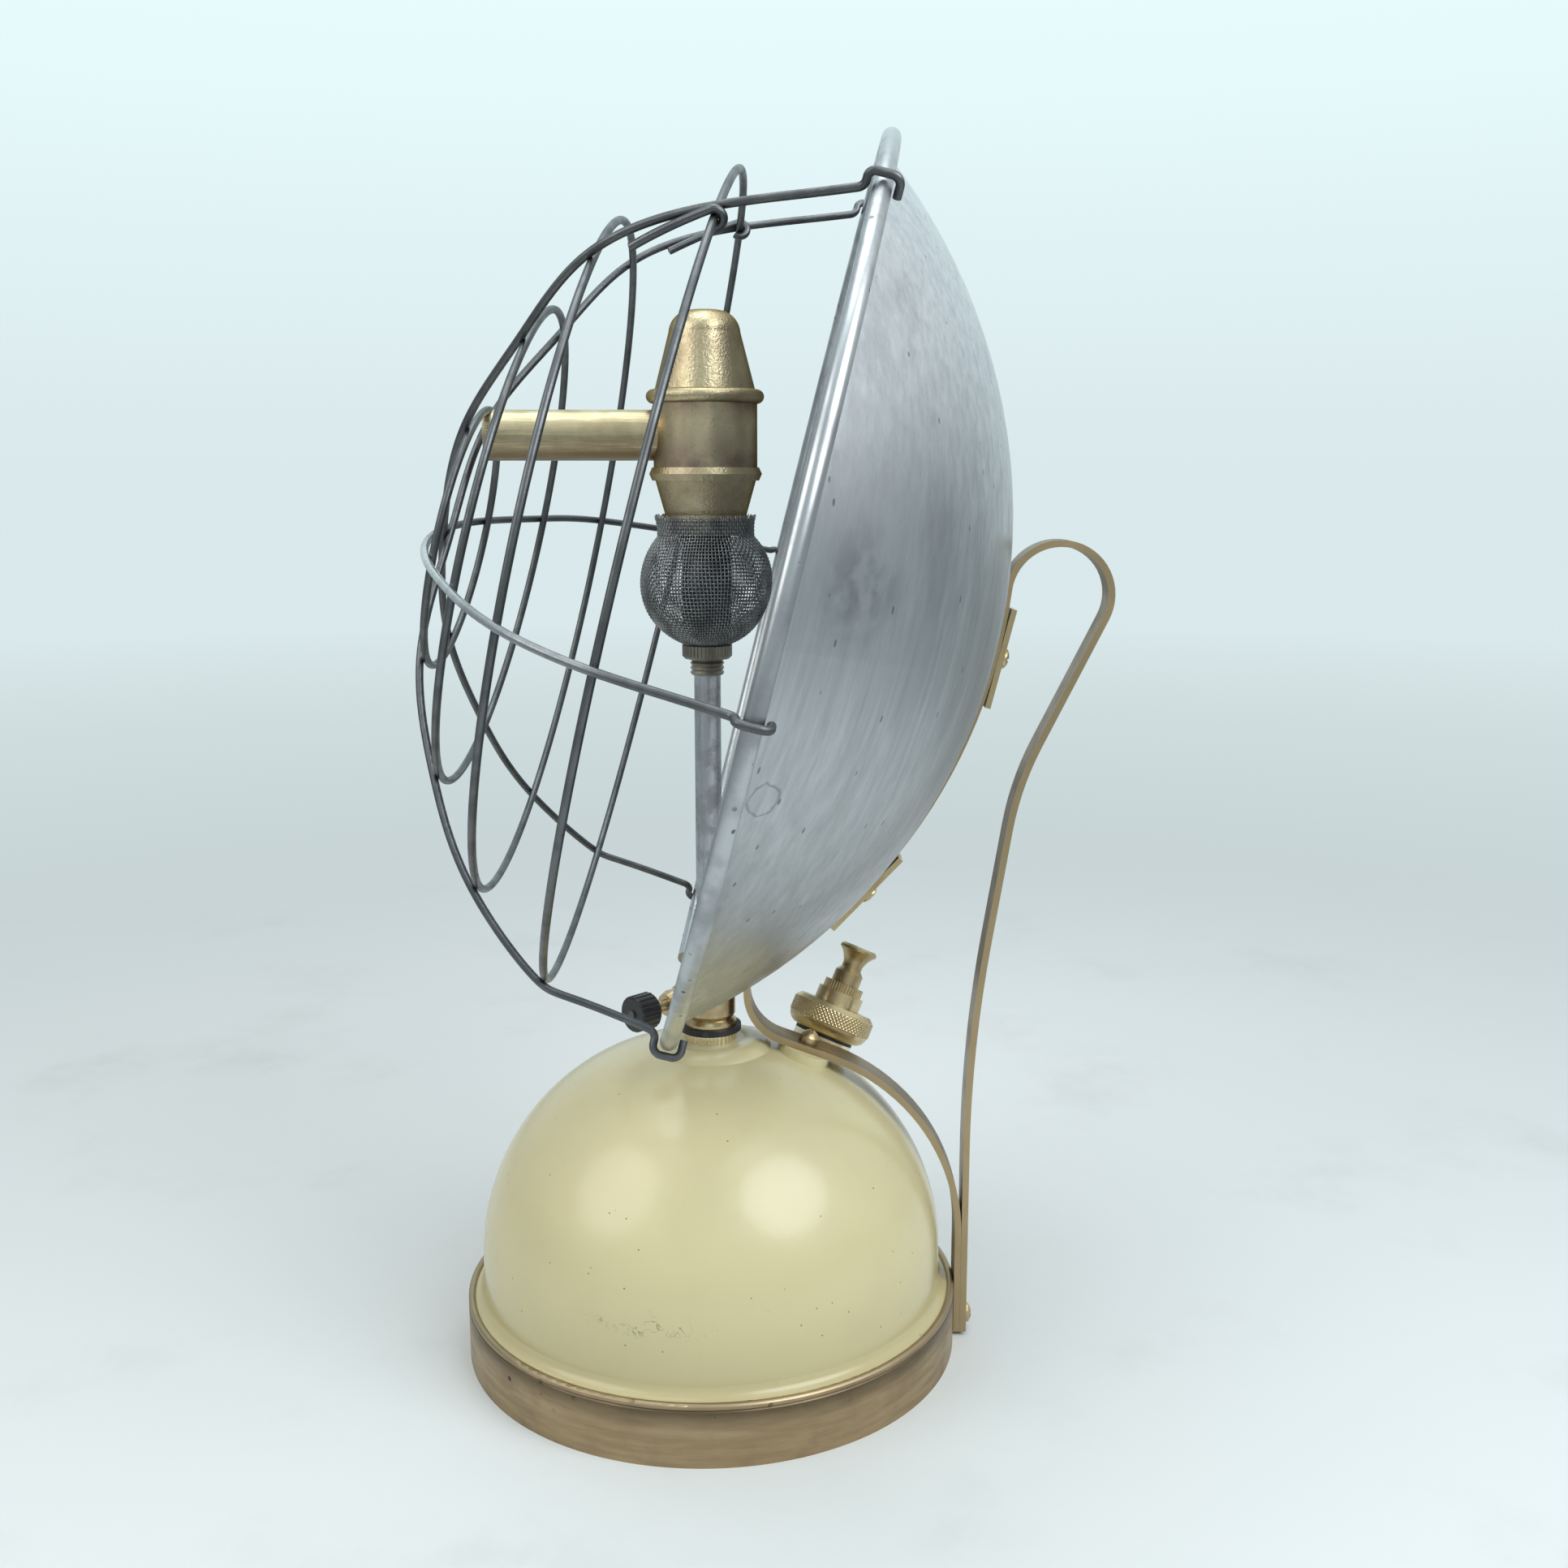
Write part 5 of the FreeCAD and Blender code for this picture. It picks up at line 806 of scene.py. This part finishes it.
# Floor, light and camera: a pale sheet under the heater that fades into a pale room, lit from both sides.
# The camera and the mirrored rays see the room's colours, and one even pale light falls on everything else.
floor_half = 4.0
fade_near, fade_far = 0.22, 1.1
haze_near, haze_far = 0.5, 3.0
near_haze = (0.56, 0.64, 0.65, 1)
horizon = (0.70, 0.81, 0.83, 1)
zenith = (0.81, 0.975, 1.0, 1)
dim_wall = (0.40, 0.42, 0.43, 1)
dark_side = (0.16, 0.165, 0.17, 1)
lit_wall = (0.95, 1.0, 1.0, 1)
even_light = (0.93, 0.97, 1.0, 1)


def eye_rays(tree):
    """Masks of the rays that come straight from the camera, and of those that show anything to it."""
    rays = shader_node(tree, "LightPath").outputs
    mirrored = calc(tree, "MAXIMUM", rays["Is Glossy Ray"], rays["Is Transmission Ray"])
    return rays["Is Camera Ray"], calc(tree, "MAXIMUM", rays["Is Camera Ray"], mirrored)


floor_finish, tree, shader, place = new_finish("pale_floor", roughness=0.85)
straight, seen = eye_rays(tree)
scuffs = placed(tree, patches, {
    "Vector": place, "Scale": 9.0, "Detail": 6.0, "Bare": 0.5, "Full": 0.85})["Mask"]
sheet = mixed(tree, scuffs, (0.72, 0.775, 0.775, 1), (0.62, 0.665, 0.66, 1))
tree.links.new(sheet, shader.inputs["Base Color"])
distance = shader_node(tree, "VectorMath", {0: place}, operation="LENGTH").outputs["Value"]
away = shader_node(tree, "MapRange", {"Value": distance, "From Min": fade_near, "From Max": fade_far},
                   interpolation_type="SMOOTHSTEP").outputs["Result"]
far_off = ranged(tree, distance, haze_near, haze_far, 0.0, 1.0)
haze = shader_node(tree, "Emission", {"Color": mixed(tree, far_off, near_haze, horizon),
                                      "Strength": ranged(tree, straight, 0.0, 1.0, 0.6, 1.0)})
hazed = calc(tree, "MULTIPLY", seen, away)
blend = shader_node(tree, "MixShader", {0: hazed, 1: shader.outputs[0], 2: haze.outputs[0]})
tree.links.new(blend.outputs[0], tree.nodes["Material Output"].inputs["Surface"])
floor = mesh_piece("floor", [(-floor_half, -floor_half, 0), (floor_half, -floor_half, 0),
                             (floor_half, floor_half, 0), (-floor_half, floor_half, 0)],
                   [(0, 1, 2, 3)], floor_finish)

world = bpy.data.worlds.new("pale_room")
bpy.context.scene.world = world
world.use_nodes = True
tree = world.node_tree
looking = shader_node(tree, "TexCoord").outputs["Generated"]
aim = shader_node(tree, "SeparateXYZ", {"Vector": looking})
upward = ranged(tree, aim.outputs["Z"], 0.0, 0.26, 0.0, 1.0)
pale_sky = mixed(tree, upward, horizon, zenith)
behind_camera = ranged(tree, aim.outputs["X"], -0.2, 0.9, 0.0, 0.55)
room = mixed(tree, behind_camera, pale_sky, dim_wall)
aside = shader_node(tree, "Math", {0: aim.outputs["Y"]}, operation="ABSOLUTE").outputs[0]
room = mixed(tree, ranged(tree, aside, 0.35, 0.95, 0.0, 0.7), room, dark_side)
right_wall = calc(tree, "MULTIPLY", ranged(tree, aim.outputs["Y"], 0.3, 0.8, 0.0, 1.0),
                  ranged(tree, aim.outputs["Z"], 0.05, 0.45, 0.0, 0.9))
room = mixed(tree, right_wall, room, lit_wall)
straight, seen = eye_rays(tree)
shown = tree.nodes["Background"]
tree.links.new(mixed(tree, straight, room, pale_sky), shown.inputs["Color"])
lighting = shader_node(tree, "Background", {"Color": even_light, "Strength": 0.45})
choice = shader_node(tree, "MixShader", {0: seen, 1: lighting.outputs[0], 2: shown.outputs[0]})
tree.links.new(choice.outputs[0], tree.nodes["World Output"].inputs["Surface"])


def soft_box(name, spot, aim, size, watts, tint):
    """A round diffused lamp that points at a spot on the heater."""
    lamp = bpy.data.lights.new(name, "AREA")
    lamp.shape = "ELLIPSE"
    lamp.size, lamp.size_y = size
    lamp.energy = watts
    lamp.color = tint
    holder = bpy.data.objects.new(name, lamp)
    bpy.context.scene.collection.objects.link(holder)
    holder.location = spot
    holder.rotation_euler = (Vector(aim) - Vector(spot)).to_track_quat("-Z", "Y").to_euler()


low_aim, high_aim = (0, 0, 0.15), (0, 0, 0.2)
soft_box("left_window", (0.55, -1.0, 1.02), low_aim, (1.1, 1.1), watts=6.0, tint=(1.0, 0.98, 0.95))
soft_box("right_window", (0.72, 0.86, 1.08), low_aim, (1.2, 1.05), watts=13.0, tint=(0.94, 0.97, 1.0))
soft_box("overhead", (-0.1, 0.0, 1.5), high_aim, (1.1, 1.1), watts=6.5, tint=(0.97, 0.99, 1.0))

lens = bpy.data.cameras.new("photo_camera")
lens.lens = 37.83
lens.sensor_width = 36.0
lens.clip_start = 0.01
camera = bpy.data.objects.new("photo_camera", lens)
bpy.context.scene.collection.objects.link(camera)
camera.location = (0.5865, 0.0274, 0.3247)
camera_tilt, camera_turn = math.radians(79.28), math.radians(90)
camera.rotation_euler = (camera_tilt, 0, camera_turn)
bpy.context.scene.camera = camera
bpy.context.scene.view_settings.view_transform = "Standard"
